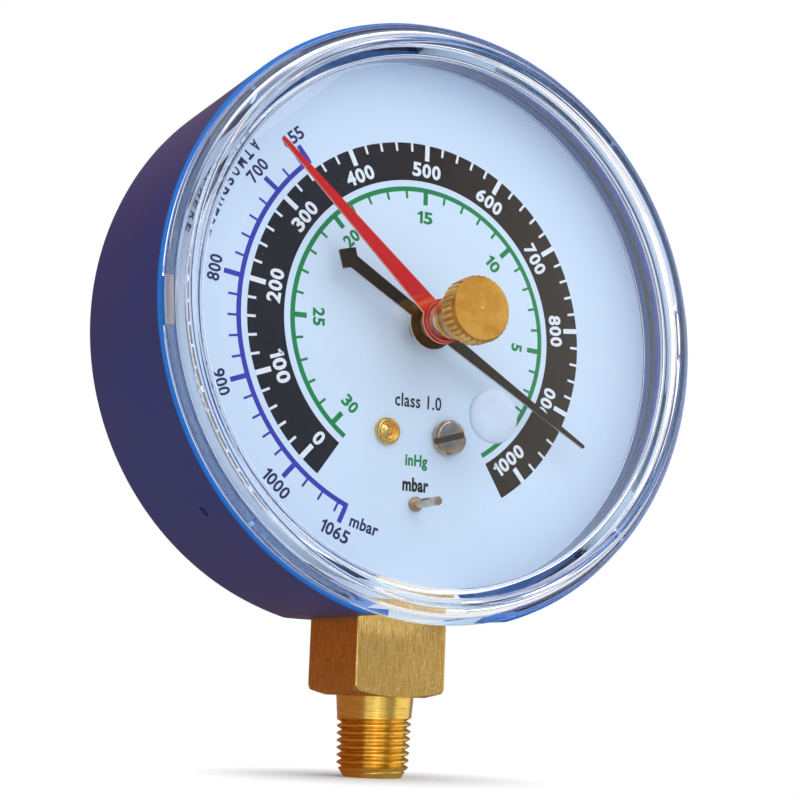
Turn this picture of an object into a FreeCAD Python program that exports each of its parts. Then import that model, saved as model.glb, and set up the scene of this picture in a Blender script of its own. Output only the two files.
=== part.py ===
import FreeCAD, Part
import math
import os

V = FreeCAD.Vector

# A bottom-connected vacuum gauge in millimetres and degrees. The stem stands on the Z axis with
# its threaded end at the origin, and the dial faces -Y. Angles around the dial run clockwise
# from twelve o'clock, as a reader sees them.

# Case: a round pan, open at the front, flattened and notched where the socket leaves it
case_d = 80.0
case_wall = 0.9
case_depth = 27.0
case_edge_radius = 3.0
case_draft = 0.33
case_flat_drop = 1.5
stem_to_rim = 15.0
gasket_seat_depth = 5.5
gasket_seat_lip = 0.4
vent_d = 1.4
vent_angle = 227.5
vent_setback = 7.0

# Socket: threaded stem, neck, square block and the head that carries tube, dial and movement
thread_pitch = 25.4 / 27
thread_d_at_end = 9.4
thread_taper = 1 / 16
thread_depth = 0.6
thread_half_angle = 30.0
thread_root_flat = 0.06
thread_length = 7.9
stem_chamfer_d = 7.65
stem_chamfer_length = 1.4
neck_d = 10.3
neck_length = 2.6
block_across = 13.5
block_length = 10.1
block_chamfer_start_d = 13.2
block_chamfer_rise = 0.27
block_corner_d = 18.0
block_corner_drop = 1.6
block_edge_radius = 0.35
port_d = 3.0
head_step = 0.1
head_cover = 1.75

# Bourdon tube and its tip
tube_radius = 25.0
tube_width = 9.0
tube_thickness = 3.2
tube_wall = 0.35
tube_start_angle = 184.0
tube_end_angle = 458.0
tube_chamber_angle = 9.0
tube_slot_spare_angle = 3.0
tip_wall = 0.8
tip_sleeve = 2.0
tip_cap = 1.5
tip_lug_width = 3.0
tip_lug_t = 1.0
tip_pin_inset = 4.11
tip_pin_lead_angle = 1.85

# Dial
dial_setback = 7.0
dial_t = 0.8
dial_edge_gap = 1.4
dial_hole_d = 3.6
dial_screw_x = 4.62
dial_screw_drop = 14.4
dial_screw_d = 2.4
dial_screw_head_d = 4.9
dial_screw_head_h = 1.4
dial_screw_length = 3.5
dial_screw_slot_w = 0.8
dial_screw_slot_angle = 73.0
rivet_d = 1.8
rivet_head_d = 3.6
rivet_head_h = 0.8
rivet_cup_d = 2.0
rivet_cup_depth = 0.35
stop_pin_d = 1.2
stop_pin_reach = 6.0
stop_pin_depth = 2.2
stop_pin_drop = 23.6
stop_pin_collar_d = 2.0
stop_pin_collar_h = 0.5

# Scale of the dial and the resting reading
scale_top_mbar = 1000.0
scale_span = 276.87
rest_mbar = 930.0
stop_angle = 176.0

# Movement
dial_to_plate = 1.0
plate_t = 1.0
plate_spacing = 5.0
gear_setback = 2.0
plate_screw_d = 1.0
plate_screw_head_d = 2.2
plate_screw_head_h = 0.7
plate_screw_length = 1.6
plate_screw_slot_w = 0.35
pillar_d = 2.6
pillar_tenon_d = 1.4
pillar_spots = ((-6.4, -3.6), (3.5, 5.7), (15.8, -5.6))
pillar_plate_r = 2.2
sector_plate_r = 2.6
movement_screw_x = 4.4
movement_screw_drop = 10.2
movement_screw_d = 2.0
movement_screw_head_d = 3.6
movement_screw_head_h = 1.2
movement_screw_length = 4.5
movement_screw_slot_w = 0.5
movement_ear_r = 2.3
seat_rise = 5.1

# Gears, hairspring and link
gear_module = 0.2
pinion_teeth = 14
sector_full_teeth = 140
pinion_length = 1.6
sector_t = 0.8
sector_rim = 1.8
sector_spoke_w = 1.5
sector_hub_d = 4.0
sector_hub_h = 1.6
sector_direction = 130.0
sector_spare_teeth = 1
tail_radius = 6.0
tail_width = 2.6
tooth_addendum = 0.85
tooth_dedendum = 1.2
tooth_backlash = 0.03
pressure_angle = 20.0
flank_shares = (0, 0.35, 0.7, 1)
arbor_d = 1.6
arbor_pivot_d = 0.9
sector_arbor_d = 1.8
link_width = 2.2
link_t = 0.6
link_pin_d = 1.0
link_pin_head_d = 2.0
link_pin_head_h = 0.45
hairspring_t = 0.1
hairspring_w = 0.6
hairspring_setback = 0.5
hairspring_points = 16  # on each turn
hairspring_turns = 4.5
hairspring_outer_d = 9.4
hairspring_end_angle = 285.0
collet_d = 2.6
collet_h = 0.9
stud_d = 0.8

# Black hand and its bush
hand_tip_radius = 28.5
hand_tail = 16.4
hand_lift = 2.8
hand_t = 0.4
hand_hub_d = 6.6
hand_root_w = 1.9
hand_tip_w = 0.6
tail_root_w = 1.6
tail_bar_w = 1.95
tail_head_w = 3.6
bush_d = 4.4
bush_flange_d = 5.3
bush_cup_d = 3.7
bush_cup_depth = 0.6
bush_front = 0.8
bush_back = 1.1

# Red set hand, its friction washer and the knob that turns it through the window
set_tip_radius = 31.7
set_angle = -50.1
set_lift = 5.6
set_t = 0.4
set_hub_d = 6.0
set_root_w = 2.8
set_tip_w = 0.6
set_boss_d = 5.4
washer_t = 0.25
washer_d = 5.8
knob_d = 8.7
knob_face_d = 8.0
knob_reach = 7.5
knurl_length = 2.7
knurl_count = 32
knurl_depth = 0.28
knurl_ridge = 0.4
knob_chamfer = 0.4
knob_taper_d = 6.0
knob_neck_d = 5.4
knob_neck_length = 1.3
knob_shaft_d = 4.5
knob_tail_d = 3.2
knob_rivet_d = 4.4
knob_rivet_h = 0.35

# Window: flange on the rim, plate a little behind the front ring, and two walls behind the ring:
# a slotted skirt that grips the case, and a tube that comes down to the dial
window_rim_inset = 0.5
window_flange_straight = 1.0
window_shoulder_step = 1.0
window_shoulder_rise = 1.6
window_front_step = 1.3
window_front_rise = 3.4
window_ring_w = 0.9
window_ring_slope = 1.3
window_plate_back = 0.5
window_plate_t = 2.0
window_skirt_t = 1.0
window_hollow_back = 0.1
window_hollow_step = 0.3
window_hollow_rise = 0.9
window_hollow_slope = 0.55
window_hollow_top_rise = 1.9
window_tube_t = 0.9
window_tube_gap = 0.25
window_tube_foot_step = 0.5
window_tube_clear = 1.65
window_flat_rise = 0.5
window_notch_w = 6.0
window_notch_depth = 1.3
window_notch_turn = -4.6
window_notch_back = 0.9
window_slot_w = 0.6
window_slot_length = 3.15
window_slot_angles = (42, 132, 222, 312)
gasket_t = 0.9
gasket_w = 0.85

# Plug in the window
plug_x = 6.7
plug_drop = 12.1
plug_hole_d = 4.4
plug_flange_d = 7.2
plug_flange_h = 0.8
plug_step_d = 4.6
plug_step_h = 0.3
plug_length = 2.3

# Screws through the back of the case
case_screw_d = 3.0
case_screw_head_d = 5.4
case_screw_head_h = 1.6
case_screw_cross = 3.0
case_screw_cross_w = 0.75
case_screw_cross_depth = 0.95
case_screw_depth = 4.6
case_screw_low = 8.4
case_screw_spacing = 13.0
pad_foot = 4.4

# Outline of a screw's head and depth of its slot, as shares of its radius and height
slot_share = 0.55
head_outline = ((0, 0), (1, 0), (1, 0.55), (0.9, 0.85), (0.72, 1), (0, 1))

# Clearances
fit = 0.01          # pressed or screwed together
running = 0.03      # a pivot that turns in its hole
slot_fit = 0.03     # brazed tube in its slot
hole_clearance = 0.1
face_gap = 0.15     # between pieces that move past each other
case_gap = 0.25     # socket in the case's notch
window_gap = 0.3    # skirt in the case
rim_gap = 0.05      # flange on the rim, and skirt on the gasket
open_pivot = 0.25   # link on the sector's pin
gear_gap = 0.03     # added to the gears' centre distance
cut_over = 1.0      # how far a cut runs past the face it opens

# Derived places
case_r = case_d / 2
stem_length = thread_length + neck_length
case_flat_z = stem_length + block_length
axis_z = case_flat_z + case_r - case_flat_drop
rim_y = -stem_to_rim
back_y = rim_y + case_depth
back_in_y = back_y - case_wall
seat_y = rim_y + gasket_seat_depth
mouth_r = case_r - case_wall
inside_r = mouth_r - gasket_seat_lip
dial_y = rim_y + dial_setback
dial_back_y = dial_y + dial_t
front_plate_y = dial_back_y + dial_to_plate
front_plate_back_y = front_plate_y + plate_t
back_plate_y = front_plate_back_y + plate_spacing
movement_back_y = back_plate_y + plate_t
block_half = block_across / 2
head_half = block_half - head_step
head_top_z = axis_z - dial_screw_drop + head_cover
seat_top_z = axis_z - seat_rise

# Levels between the plates, from the sector backwards
gear_mid_y = front_plate_back_y + gear_setback
sector_y = gear_mid_y - sector_t / 2
sector_back_y = sector_y + sector_t
link_y = sector_back_y + face_gap
link_back_y = link_y + link_t
lug_y = link_back_y + face_gap
spring_y = gear_mid_y + pinion_length / 2 + hairspring_setback

# Front pieces
hand_y = dial_y - hand_lift - hand_t / 2
bush_front_y = hand_y - bush_front
bush_back_y = hand_y + hand_t + bush_back
set_y = dial_y - set_lift - set_t / 2
set_back_y = set_y + set_t
window_back_y = rim_y + window_plate_back
window_front_y = window_back_y - window_plate_t
washer_y = window_back_y + rim_gap
washer_back_y = washer_y + washer_t
knob_front_y = window_front_y - knob_reach


def polar(radius, angle):
    """Offset (x, up) at an angle clockwise from twelve o'clock."""
    turn = math.radians(angle)
    return radius * math.sin(turn), radius * math.cos(turn)


def shifted(point, radius, angle):
    step = polar(radius, angle)
    return point[0] + step[0], point[1] + step[1]


def direction_of(start, end):
    return math.degrees(math.atan2(end[0] - start[0], end[1] - start[1]))


def distance(start, end):
    return math.hypot(end[0] - start[0], end[1] - start[1])


# Linkage, in offsets from the dial's axis. The two gears, then the tube's tip, which turns about
# the middle of the tube's arc, and the tail, square to the link at the middle of the travel.
scale_zero_angle = -scale_span / 2
rest_angle = scale_zero_angle + rest_mbar / scale_top_mbar * scale_span
gear_ratio = sector_full_teeth / pinion_teeth
pinion_r = gear_module * pinion_teeth / 2
sector_r = gear_module * sector_full_teeth / 2
sector_at = polar(pinion_r + sector_r + gear_gap, sector_direction)
hand_low = scale_zero_angle - rest_angle
hand_high = stop_angle - rest_angle
sector_low = -hand_high / gear_ratio
sector_high = -hand_low / gear_ratio
sector_mid = (sector_low + sector_high) / 2
half_tube_arc = math.radians((tube_end_angle - tube_start_angle) / 2)
tube_mid_angle = (tube_start_angle + tube_end_angle) / 2
tip_turn_at = polar(tube_radius * math.sin(half_tube_arc) / half_tube_arc, tube_mid_angle)
tip_mid = polar(tube_radius - tip_pin_inset, tube_end_angle + tip_pin_lead_angle)
tail_lead = math.degrees(math.acos(tail_radius / distance(sector_at, tip_mid)))
tail_mid_angle = direction_of(sector_at, tip_mid) + tail_lead
tail_mid = shifted(sector_at, tail_radius, tail_mid_angle)
link_length = distance(tail_mid, tip_mid)
tip_arm = distance(tip_turn_at, tip_mid)
tip_mid_angle = direction_of(tip_turn_at, tip_mid)
tip_slant = math.radians(tip_mid_angle - tail_mid_angle)
tip_ratio = tail_radius / (tip_arm * math.cos(tip_slant))


def tail_pin_at(turn):
    return shifted(sector_at, tail_radius, tail_mid_angle + turn - sector_mid)


def tip_pin_at(turn):
    return shifted(tip_turn_at, tip_arm, tip_mid_angle + tip_ratio * (turn - sector_mid))


def link_angle(turn):
    return direction_of(tail_pin_at(turn), tip_pin_at(turn))


link_ratio = (link_angle(sector_high) - link_angle(sector_low)) / (sector_high - sector_low)
link_rest_angle = link_angle(sector_mid) - link_ratio * sector_mid
tail_pin_rest = tail_pin_at(0)
tip_pin_rest = tip_pin_at(0)


def rod(diameter, y_start, y_end, at=(0, 0)):
    """Round bar along Y, at an offset from the dial's axis."""
    base = V(at[0], y_start, axis_z + at[1])
    return Part.makeCylinder(diameter / 2, y_end - y_start, base, V(0, 1, 0))


def drilled(shape, diameter, y_start, y_end, at=(0, 0)):
    return shape.cut(rod(diameter, y_start, y_end, at))


def box(x_low, x_high, y_low, y_high, z_low, z_high):
    corner = V(x_low, y_low, z_low)
    return Part.makeBox(x_high - x_low, y_high - y_low, z_high - z_low, corner)


def turned(profile, at=(0, 0), sweep=360):
    """Solid of revolution about a line along Y; the profile is (radius, y)."""
    points = [V(at[0] + radius, y, axis_z + at[1]) for radius, y in profile]
    face = Part.Face(Part.makePolygon(points + points[:1]))
    return face.revolve(V(at[0], 0, axis_z + at[1]), V(0, 1, 0), sweep)


def arc_swept(profile, start, end):
    """Part of a ring about the dial's axis, from one dial angle to another."""
    ring = turned_face(profile, start)
    return ring.revolve(V(0, 0, axis_z), V(0, 1, 0), end - start)


def turned_face(profile, angle):
    points = [on_dial(radius, angle, y) for radius, y in profile]
    return Part.Face(Part.makePolygon(points + points[:1]))


def on_dial(radius, angle, y):
    x, up = polar(radius, angle)
    return V(x, y, axis_z + up)


def sheet(outline, y_start, y_end):
    """Flat piece cut to an outline of (x, up) offsets from the dial's axis."""
    points = [V(x, y_start, axis_z + up) for x, up in outline]
    face = Part.Face(Part.makePolygon(points + points[:1]))
    return face.extrude(V(0, y_end - y_start, 0))


def joined(first, others):
    return first.multiFuse(others).removeSplitter()


def bar(start, end, start_w, end_w, y_start, y_end):
    """Flat bar with round ends; its width may taper."""
    along = distance(start, end)
    lean = math.degrees(math.asin((start_w - end_w) / 2 / along))
    heading = direction_of(start, end)
    sides = (heading - 90 + lean, heading + 90 - lean)
    outline = [
        shifted(start, start_w / 2, sides[0]),
        shifted(end, end_w / 2, sides[0]),
        shifted(end, end_w / 2, sides[1]),
        shifted(start, start_w / 2, sides[1]),
    ]
    ends = [rod(start_w, y_start, y_end, start), rod(end_w, y_start, y_end, end)]
    return joined(sheet(outline, y_start, y_end), ends)


def rounded_plate(corners, y_start, y_end):
    """Convex plate around circles given as (x, up, diameter)."""
    pieces = []
    for index, corner in enumerate(corners):
        other = corners[index - 1]
        pieces.append(bar(other[:2], corner[:2], other[2], corner[2], y_start, y_end))
    middle = sheet([corner[:2] for corner in corners], y_start, y_end)
    return joined(middle, pieces)


# Case, gasket and the screws in the case's back
def pan(radius, back_radius, edge_radius, y_front, y_back, floor_z):
    bend = y_back - edge_radius
    start = V(0, y_back, axis_z)
    inner = V(back_radius - edge_radius, y_back, axis_z)
    slope = math.sqrt(0.5) * edge_radius
    middle = V(back_radius - edge_radius + slope, bend + slope, axis_z)
    outer = V(back_radius, bend, axis_z)
    rim = V(radius, y_front, axis_z)
    centre = V(0, y_front, axis_z)
    edges = [
        Part.LineSegment(start, inner).toShape(),
        Part.Arc(inner, middle, outer).toShape(),
        Part.LineSegment(outer, rim).toShape(),
        Part.LineSegment(rim, centre).toShape(),
        Part.LineSegment(centre, start).toShape(),
    ]
    round_pan = Part.Face(Part.Wire(edges)).revolve(V(0, 0, axis_z), V(0, 1, 0), 360)
    return round_pan.common(box(-radius, radius, y_front, y_back, floor_z, axis_z + radius))


def case_screw_spots():
    low = case_flat_z - axis_z + case_screw_low
    return [(0, low), (0, low + case_screw_spacing)]


def make_case():
    outer = pan(case_r, case_r - case_draft, case_edge_radius, rim_y, back_y, case_flat_z)
    inner_edge = case_edge_radius - case_wall
    floor_z = case_flat_z + case_wall
    hollow = pan(inside_r, inside_r, inner_edge, seat_y, back_in_y, floor_z)
    mouth = pan(mouth_r, mouth_r, inner_edge, rim_y, seat_y + inner_edge, floor_z)
    mouth = mouth.common(box(-case_r, case_r, rim_y, seat_y, floor_z, axis_z + case_r))
    notch_half = block_half + case_gap
    notch = box(-notch_half, notch_half, rim_y, notch_half, case_flat_z - cut_over, floor_z + cut_over)
    case = outer.cut(hollow).cut(mouth).cut(notch)
    for spot in case_screw_spots():
        case = drilled(case, case_screw_d + 2 * hole_clearance, back_in_y, back_y, spot)
    vent_y = rim_y + vent_setback
    wall_in = on_dial(inside_r - cut_over, vent_angle, vent_y)
    outward = on_dial(1, vent_angle, 0) - V(0, 0, axis_z)
    depth = case_r + cut_over - (inside_r - cut_over)
    vent = Part.makeCylinder(vent_d / 2, depth, wall_in, outward)
    return case.cut(vent)


def make_gasket():
    outer_r = mouth_r - rim_gap
    inner_r = outer_r - gasket_w
    profile = [
        (inner_r, seat_y - gasket_t),
        (outer_r, seat_y - gasket_t),
        (outer_r, seat_y),
        (inner_r, seat_y),
    ]
    above_flat = case_flat_z + case_wall + rim_gap
    keep = box(-case_r, case_r, seat_y - gasket_t, seat_y, above_flat, axis_z + case_r)
    return turned(profile).common(keep)


def make_case_screws():
    screws = []
    for spot in case_screw_spots():
        shank = rod(case_screw_d, back_in_y - case_screw_depth, back_y, spot)
        head = pan_head(case_screw_head_d, case_screw_head_h, back_y, 1, spot)
        top_y = back_y + case_screw_head_h
        bottom_y = top_y - case_screw_cross_depth
        arms = (case_screw_cross, case_screw_cross_w)
        for width, height in (arms, arms[::-1]):
            recess = slot_box(width, height, bottom_y, top_y, spot)
            head = head.cut(recess)
        screws.append(joined(shank, [head]))
    return Part.makeCompound(screws)


def slot_box(width, height, y_start, y_end, at):
    x_low = at[0] - width / 2
    z_low = axis_z + at[1] - height / 2
    return box(x_low, x_low + width, y_start, y_end, z_low, z_low + height)


def pan_head(diameter, height, seat, side, at):
    """Low screw head with a rounded shoulder; side is the way it stands from its seat."""
    radius = diameter / 2
    profile = [(wide * radius, seat + side * tall * height) for wide, tall in head_outline]
    return turned(profile, at)


# Socket
def thread_radius(z):
    return (thread_d_at_end + thread_taper * z) / 2


def make_thread_groove():
    over = hole_clearance
    start = -thread_pitch
    half = (thread_depth + over) * math.tan(math.radians(thread_half_angle)) + thread_root_flat / 2
    root_half = thread_root_flat / 2
    crest = thread_radius(start)
    lean = math.degrees(math.atan(thread_taper / 2))
    path = Part.makeHelix(thread_pitch, thread_length - start, crest, lean)
    path.translate(V(0, 0, start))
    outline = [
        V(crest + over, 0, start - half),
        V(crest + over, 0, start + half),
        V(crest - thread_depth, 0, start + root_half),
        V(crest - thread_depth, 0, start - root_half),
    ]
    cutter = Part.makePolygon(outline + outline[:1])
    return Part.Wire(path.Edges).makePipeShell([cutter], True, True)


def make_stem():
    thread = Part.makeCone(thread_radius(0), thread_radius(thread_length), thread_length)
    threaded = thread.cut(make_thread_groove())
    chamfer_r = thread_radius(stem_chamfer_length)
    bevel = Part.makeCone(stem_chamfer_d / 2, chamfer_r, stem_chamfer_length)
    above_h = thread_length - stem_chamfer_length
    above = Part.makeCylinder(thread_d_at_end, above_h, V(0, 0, stem_chamfer_length))
    threaded = threaded.common(joined(bevel, [above]))
    neck = Part.makeCone(thread_radius(thread_length), neck_d / 2, neck_length, V(0, 0, thread_length))
    return threaded.fuse(neck)


def square_bar(half, z_low, z_high):
    """Upright square bar with rounded corners."""
    square = box(-half, half, -half, half, z_low, z_high)
    upright = [edge for edge in square.Edges if abs(edge.tangentAt(edge.FirstParameter).z) > 0.99]
    return square.makeFillet(block_edge_radius, upright)


def make_block():
    block = square_bar(block_half, stem_length, case_flat_z)
    start_r = block_chamfer_start_d / 2
    corner_r = block_corner_d / 2
    beyond_r = block_across
    knee_z = stem_length + (corner_r - start_r) * block_chamfer_rise
    corner_z = knee_z + (beyond_r - corner_r) * block_corner_drop
    chamfer = Part.makeCone(start_r, corner_r, knee_z - stem_length, V(0, 0, stem_length))
    corner = Part.makeCone(corner_r, beyond_r, corner_z - knee_z, V(0, 0, knee_z))
    above = Part.makeCylinder(beyond_r, case_flat_z - corner_z, V(0, 0, corner_z))
    block = block.common(joined(chamfer, [corner, above]))
    return block.fuse(square_bar(head_half, case_flat_z, head_top_z))


def tube_section(grow):
    """Corner points (radius, y) and bend centres of the flat tube's cross-section."""
    half_t = tube_thickness / 2 + grow
    half_w = tube_width / 2 + grow
    return half_t, half_w - half_t


def tube_bar(grow, start, end):
    half_t, straight = tube_section(grow)
    at = tube_radius
    low_in = on_dial(at - half_t, start, -straight)
    high_in = on_dial(at - half_t, start, straight)
    top = on_dial(at, start, straight + half_t)
    high_out = on_dial(at + half_t, start, straight)
    low_out = on_dial(at + half_t, start, -straight)
    bottom = on_dial(at, start, -straight - half_t)
    edges = [
        Part.LineSegment(low_in, high_in).toShape(),
        Part.Arc(high_in, top, high_out).toShape(),
        Part.LineSegment(high_out, low_out).toShape(),
        Part.Arc(low_out, bottom, low_in).toShape(),
    ]
    face = Part.Face(Part.Wire(edges))
    return face.revolve(V(0, 0, axis_z), V(0, 1, 0), end - start)


def tube_exit_angle():
    """Dial angle at which the tube is clear of the head's left side."""
    half_angle = math.asin(head_half / (tube_radius - tube_thickness))
    return 180 + math.degrees(half_angle) + tube_slot_spare_angle


def make_socket():
    inside_z = case_flat_z + case_wall + case_gap
    pad_z = case_flat_z + pad_foot
    front = box(-head_half, head_half, dial_back_y, 0, inside_z, head_top_z)
    seat = box(-head_half, head_half, movement_back_y, head_half, pad_z, seat_top_z)
    pad = box(-head_half, head_half, 0, back_in_y, pad_z, head_top_z)
    socket = joined(make_block(), [make_stem(), front, seat, pad])
    chamber = tube_bar(slot_fit, tube_start_angle - tube_chamber_angle, tube_start_angle)
    slot = tube_bar(slot_fit, tube_start_angle, tube_exit_angle())
    port = Part.makeCylinder(port_d / 2, axis_z - tube_radius)
    socket = socket.cut(joined(chamber, [slot])).cut(port)
    screw_hole = dial_screw_d + 2 * fit
    screw_end = dial_back_y + dial_screw_length - dial_t
    socket = drilled(socket, screw_hole, dial_back_y, screw_end, dial_screw_spot())
    socket = drilled(socket, rivet_d + 2 * fit, dial_back_y, screw_end, rivet_spot())
    pin_end = dial_back_y + stop_pin_depth
    socket = drilled(socket, stop_pin_d + 2 * fit, dial_back_y, pin_end, (0, -stop_pin_drop))
    for spot in movement_screw_spots():
        end = back_plate_y + movement_screw_length
        socket = drilled(socket, movement_screw_d + 2 * fit, movement_back_y, end, spot)
    for spot in case_screw_spots():
        start = back_in_y - case_screw_depth
        socket = drilled(socket, case_screw_d + 2 * fit, start, back_in_y, spot)
    return socket


# Bourdon tube, tip and link
def make_bourdon_tube():
    outer = tube_bar(0, tube_start_angle, tube_end_angle)
    return outer.cut(tube_bar(-tube_wall, tube_start_angle, tube_end_angle))


def make_tube_tip():
    sleeve = math.degrees(tip_sleeve / tube_radius)
    cap = math.degrees(tip_cap / tube_radius)
    half_t = tube_thickness / 2 + slot_fit + tip_wall
    half_w = tube_width / 2 + slot_fit + tip_wall
    profile = [
        (tube_radius - half_t, -half_w),
        (tube_radius + half_t, -half_w),
        (tube_radius + half_t, half_w),
        (tube_radius - half_t, half_w),
    ]
    block = arc_swept(profile, tube_end_angle - sleeve, tube_end_angle + cap)
    seam = math.degrees(rim_gap / tube_radius)
    mouth = math.degrees(cut_over / tube_radius)
    middle = tube_end_angle + (cap - sleeve) / 2
    root = polar(tube_radius - half_t - tip_lug_width / 2 + tip_wall, middle)
    lug = bar(root, tip_pin_rest, tip_lug_width, tip_lug_width, lug_y, lug_y + tip_lug_t)
    tube_space = tube_bar(slot_fit, tube_end_angle - sleeve - mouth, tube_end_angle + seam)
    tip = joined(block, [lug]).cut(tube_space)
    return drilled(tip, link_pin_d + 2 * fit, lug_y, lug_y + tip_lug_t, tip_pin_rest)


def make_link():
    far = shifted(tip_pin_rest, link_length, link_rest_angle + 180)
    link = bar(tip_pin_rest, far, link_width, link_width, link_y, link_back_y)
    link = drilled(link, link_pin_d + 2 * running, link_y, link_back_y, tip_pin_rest)
    return drilled(link, link_pin_d + 2 * open_pivot, link_y, link_back_y, far)


def make_tip_pin():
    head_y = link_y - face_gap
    head = rod(link_pin_head_d, head_y - link_pin_head_h, head_y, tip_pin_rest)
    shank = rod(link_pin_d, head_y, lug_y + tip_lug_t, tip_pin_rest)
    return joined(head, [shank])


def make_sector_pin():
    head_y = link_back_y + face_gap
    front_head = rod(link_pin_head_d, sector_y - link_pin_head_h, sector_y, tail_pin_rest)
    back_head = rod(link_pin_head_d, head_y, head_y + link_pin_head_h, tail_pin_rest)
    shank = rod(link_pin_d, sector_y, head_y, tail_pin_rest)
    return joined(shank, [front_head, back_head])


# Movement: plates, pillars and screws
def dial_screw_spot():
    return dial_screw_x, -dial_screw_drop


def rivet_spot():
    return -dial_screw_x, -dial_screw_drop


def movement_screw_spots():
    return [(-movement_screw_x, -movement_screw_drop), (movement_screw_x, -movement_screw_drop)]


def frame_corners():
    corners = [(x, up, 2 * pillar_plate_r) for x, up in pillar_spots]
    return corners + [(sector_at[0], sector_at[1], 2 * sector_plate_r)]


def make_front_plate():
    plate = rounded_plate(frame_corners(), front_plate_y, front_plate_back_y)
    plate = drilled(plate, arbor_d + 2 * running, front_plate_y, front_plate_back_y)
    pivot = arbor_pivot_d + 2 * running
    plate = drilled(plate, pivot, front_plate_y, front_plate_back_y, sector_at)
    for spot in pillar_spots:
        hole = plate_screw_d + 2 * hole_clearance
        plate = drilled(plate, hole, front_plate_y, front_plate_back_y, spot)
    for spot in movement_screw_spots():
        access = movement_screw_head_d + 4 * hole_clearance
        plate = drilled(plate, access, front_plate_y, front_plate_back_y, spot)
    return plate


def make_back_plate():
    plate = rounded_plate(frame_corners(), back_plate_y, movement_back_y)
    ear_top = -head_cover
    ears = []
    for x, up in movement_screw_spots():
        ears.append(bar((x, up), (x, ear_top), 2 * movement_ear_r, 2 * movement_ear_r,
                        back_plate_y, movement_back_y))
    between = box(-movement_screw_x, movement_screw_x, back_plate_y, movement_back_y,
                  axis_z - movement_screw_drop - movement_ear_r, axis_z + ear_top)
    plate = joined(plate, ears + [between])
    pivot = arbor_pivot_d + 2 * running
    for spot in ((0, 0), sector_at):
        plate = drilled(plate, pivot, back_plate_y, movement_back_y, spot)
    for spot in pillar_spots:
        plate = drilled(plate, pillar_tenon_d + 2 * fit, back_plate_y, movement_back_y, spot)
    for spot in movement_screw_spots():
        hole = movement_screw_d + 2 * hole_clearance
        plate = drilled(plate, hole, back_plate_y, movement_back_y, spot)
    return drilled(plate, stud_d + 2 * fit, back_plate_y, movement_back_y, stud_spot())


def make_pillars():
    pillars = []
    for spot in pillar_spots:
        body = rod(pillar_d, front_plate_back_y, back_plate_y, spot)
        tenon = rod(pillar_tenon_d, back_plate_y, movement_back_y, spot)
        end = front_plate_back_y + plate_screw_length
        pillar = drilled(joined(body, [tenon]), plate_screw_d + 2 * fit, front_plate_back_y, end, spot)
        pillars.append(pillar)
    return Part.makeCompound(pillars)


def slotted_head(diameter, height, seat, at, slot_w, depth, slot_turn):
    head = pan_head(diameter, height, seat, -1, at)
    top = seat - height
    cutter = slot_box(diameter + cut_over, slot_w, top, top + depth, at)
    cutter.rotate(V(at[0], 0, axis_z + at[1]), V(0, 1, 0), slot_turn - 90)
    return head.cut(cutter)


def make_plate_screws():
    screws = []
    for spot in pillar_spots:
        head = slotted_head(plate_screw_head_d, plate_screw_head_h, front_plate_y, spot,
                            plate_screw_slot_w, plate_screw_head_h * slot_share, 90)
        end = front_plate_back_y + plate_screw_length
        screws.append(joined(head, [rod(plate_screw_d, front_plate_y, end, spot)]))
    return Part.makeCompound(screws)


def make_movement_screws():
    screws = []
    for spot in movement_screw_spots():
        head = slotted_head(movement_screw_head_d, movement_screw_head_h, back_plate_y, spot,
                            movement_screw_slot_w, movement_screw_head_h * slot_share, 90)
        end = back_plate_y + movement_screw_length
        screws.append(joined(head, [rod(movement_screw_d, back_plate_y, end, spot)]))
    return Part.makeCompound(screws)


# Gears
def involute(ratio):
    if ratio <= 1:
        return 0
    root = math.sqrt(ratio * ratio - 1)
    return root - math.atan(root)


def tooth_flank(teeth):
    """Half width of a tooth, in degrees, at radii from the root to the tip."""
    pitch_r = gear_module * teeth / 2
    base_r = pitch_r * math.cos(math.radians(pressure_angle))
    root_r = pitch_r - tooth_dedendum * gear_module
    tip_r = pitch_r + tooth_addendum * gear_module
    half_pitch = math.pi / (2 * teeth) - tooth_backlash / (2 * pitch_r)
    steps = [root_r]
    low = max(base_r, root_r)
    for share in flank_shares:
        steps.append(low + share * (tip_r - low))
    flank = []
    for radius in sorted(set(steps)):
        lean = involute(pitch_r / base_r) - involute(radius / base_r)
        flank.append((radius, math.degrees(half_pitch + lean)))
    return flank


def tooth_points(centre, teeth):
    flank = tooth_flank(teeth)
    rising = [polar(radius, centre - half) for radius, half in flank]
    falling = [polar(radius, centre + half) for radius, half in reversed(flank)]
    return rising + falling


def make_pinion_arbor():
    outline = []
    for index in range(pinion_teeth):
        centre = sector_direction + index * 360 / pinion_teeth
        outline += tooth_points(centre, pinion_teeth)
    front = gear_mid_y - pinion_length / 2
    back = gear_mid_y + pinion_length / 2
    teeth = sheet(outline, front, back)
    back_body_y = back_plate_y - face_gap
    shaft = rod(arbor_d, bush_front_y + bush_cup_depth, front)
    body = rod(arbor_d, back, back_body_y)
    pivot = rod(arbor_pivot_d, back_body_y, movement_back_y)
    return joined(teeth, [shaft, body, pivot])


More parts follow.
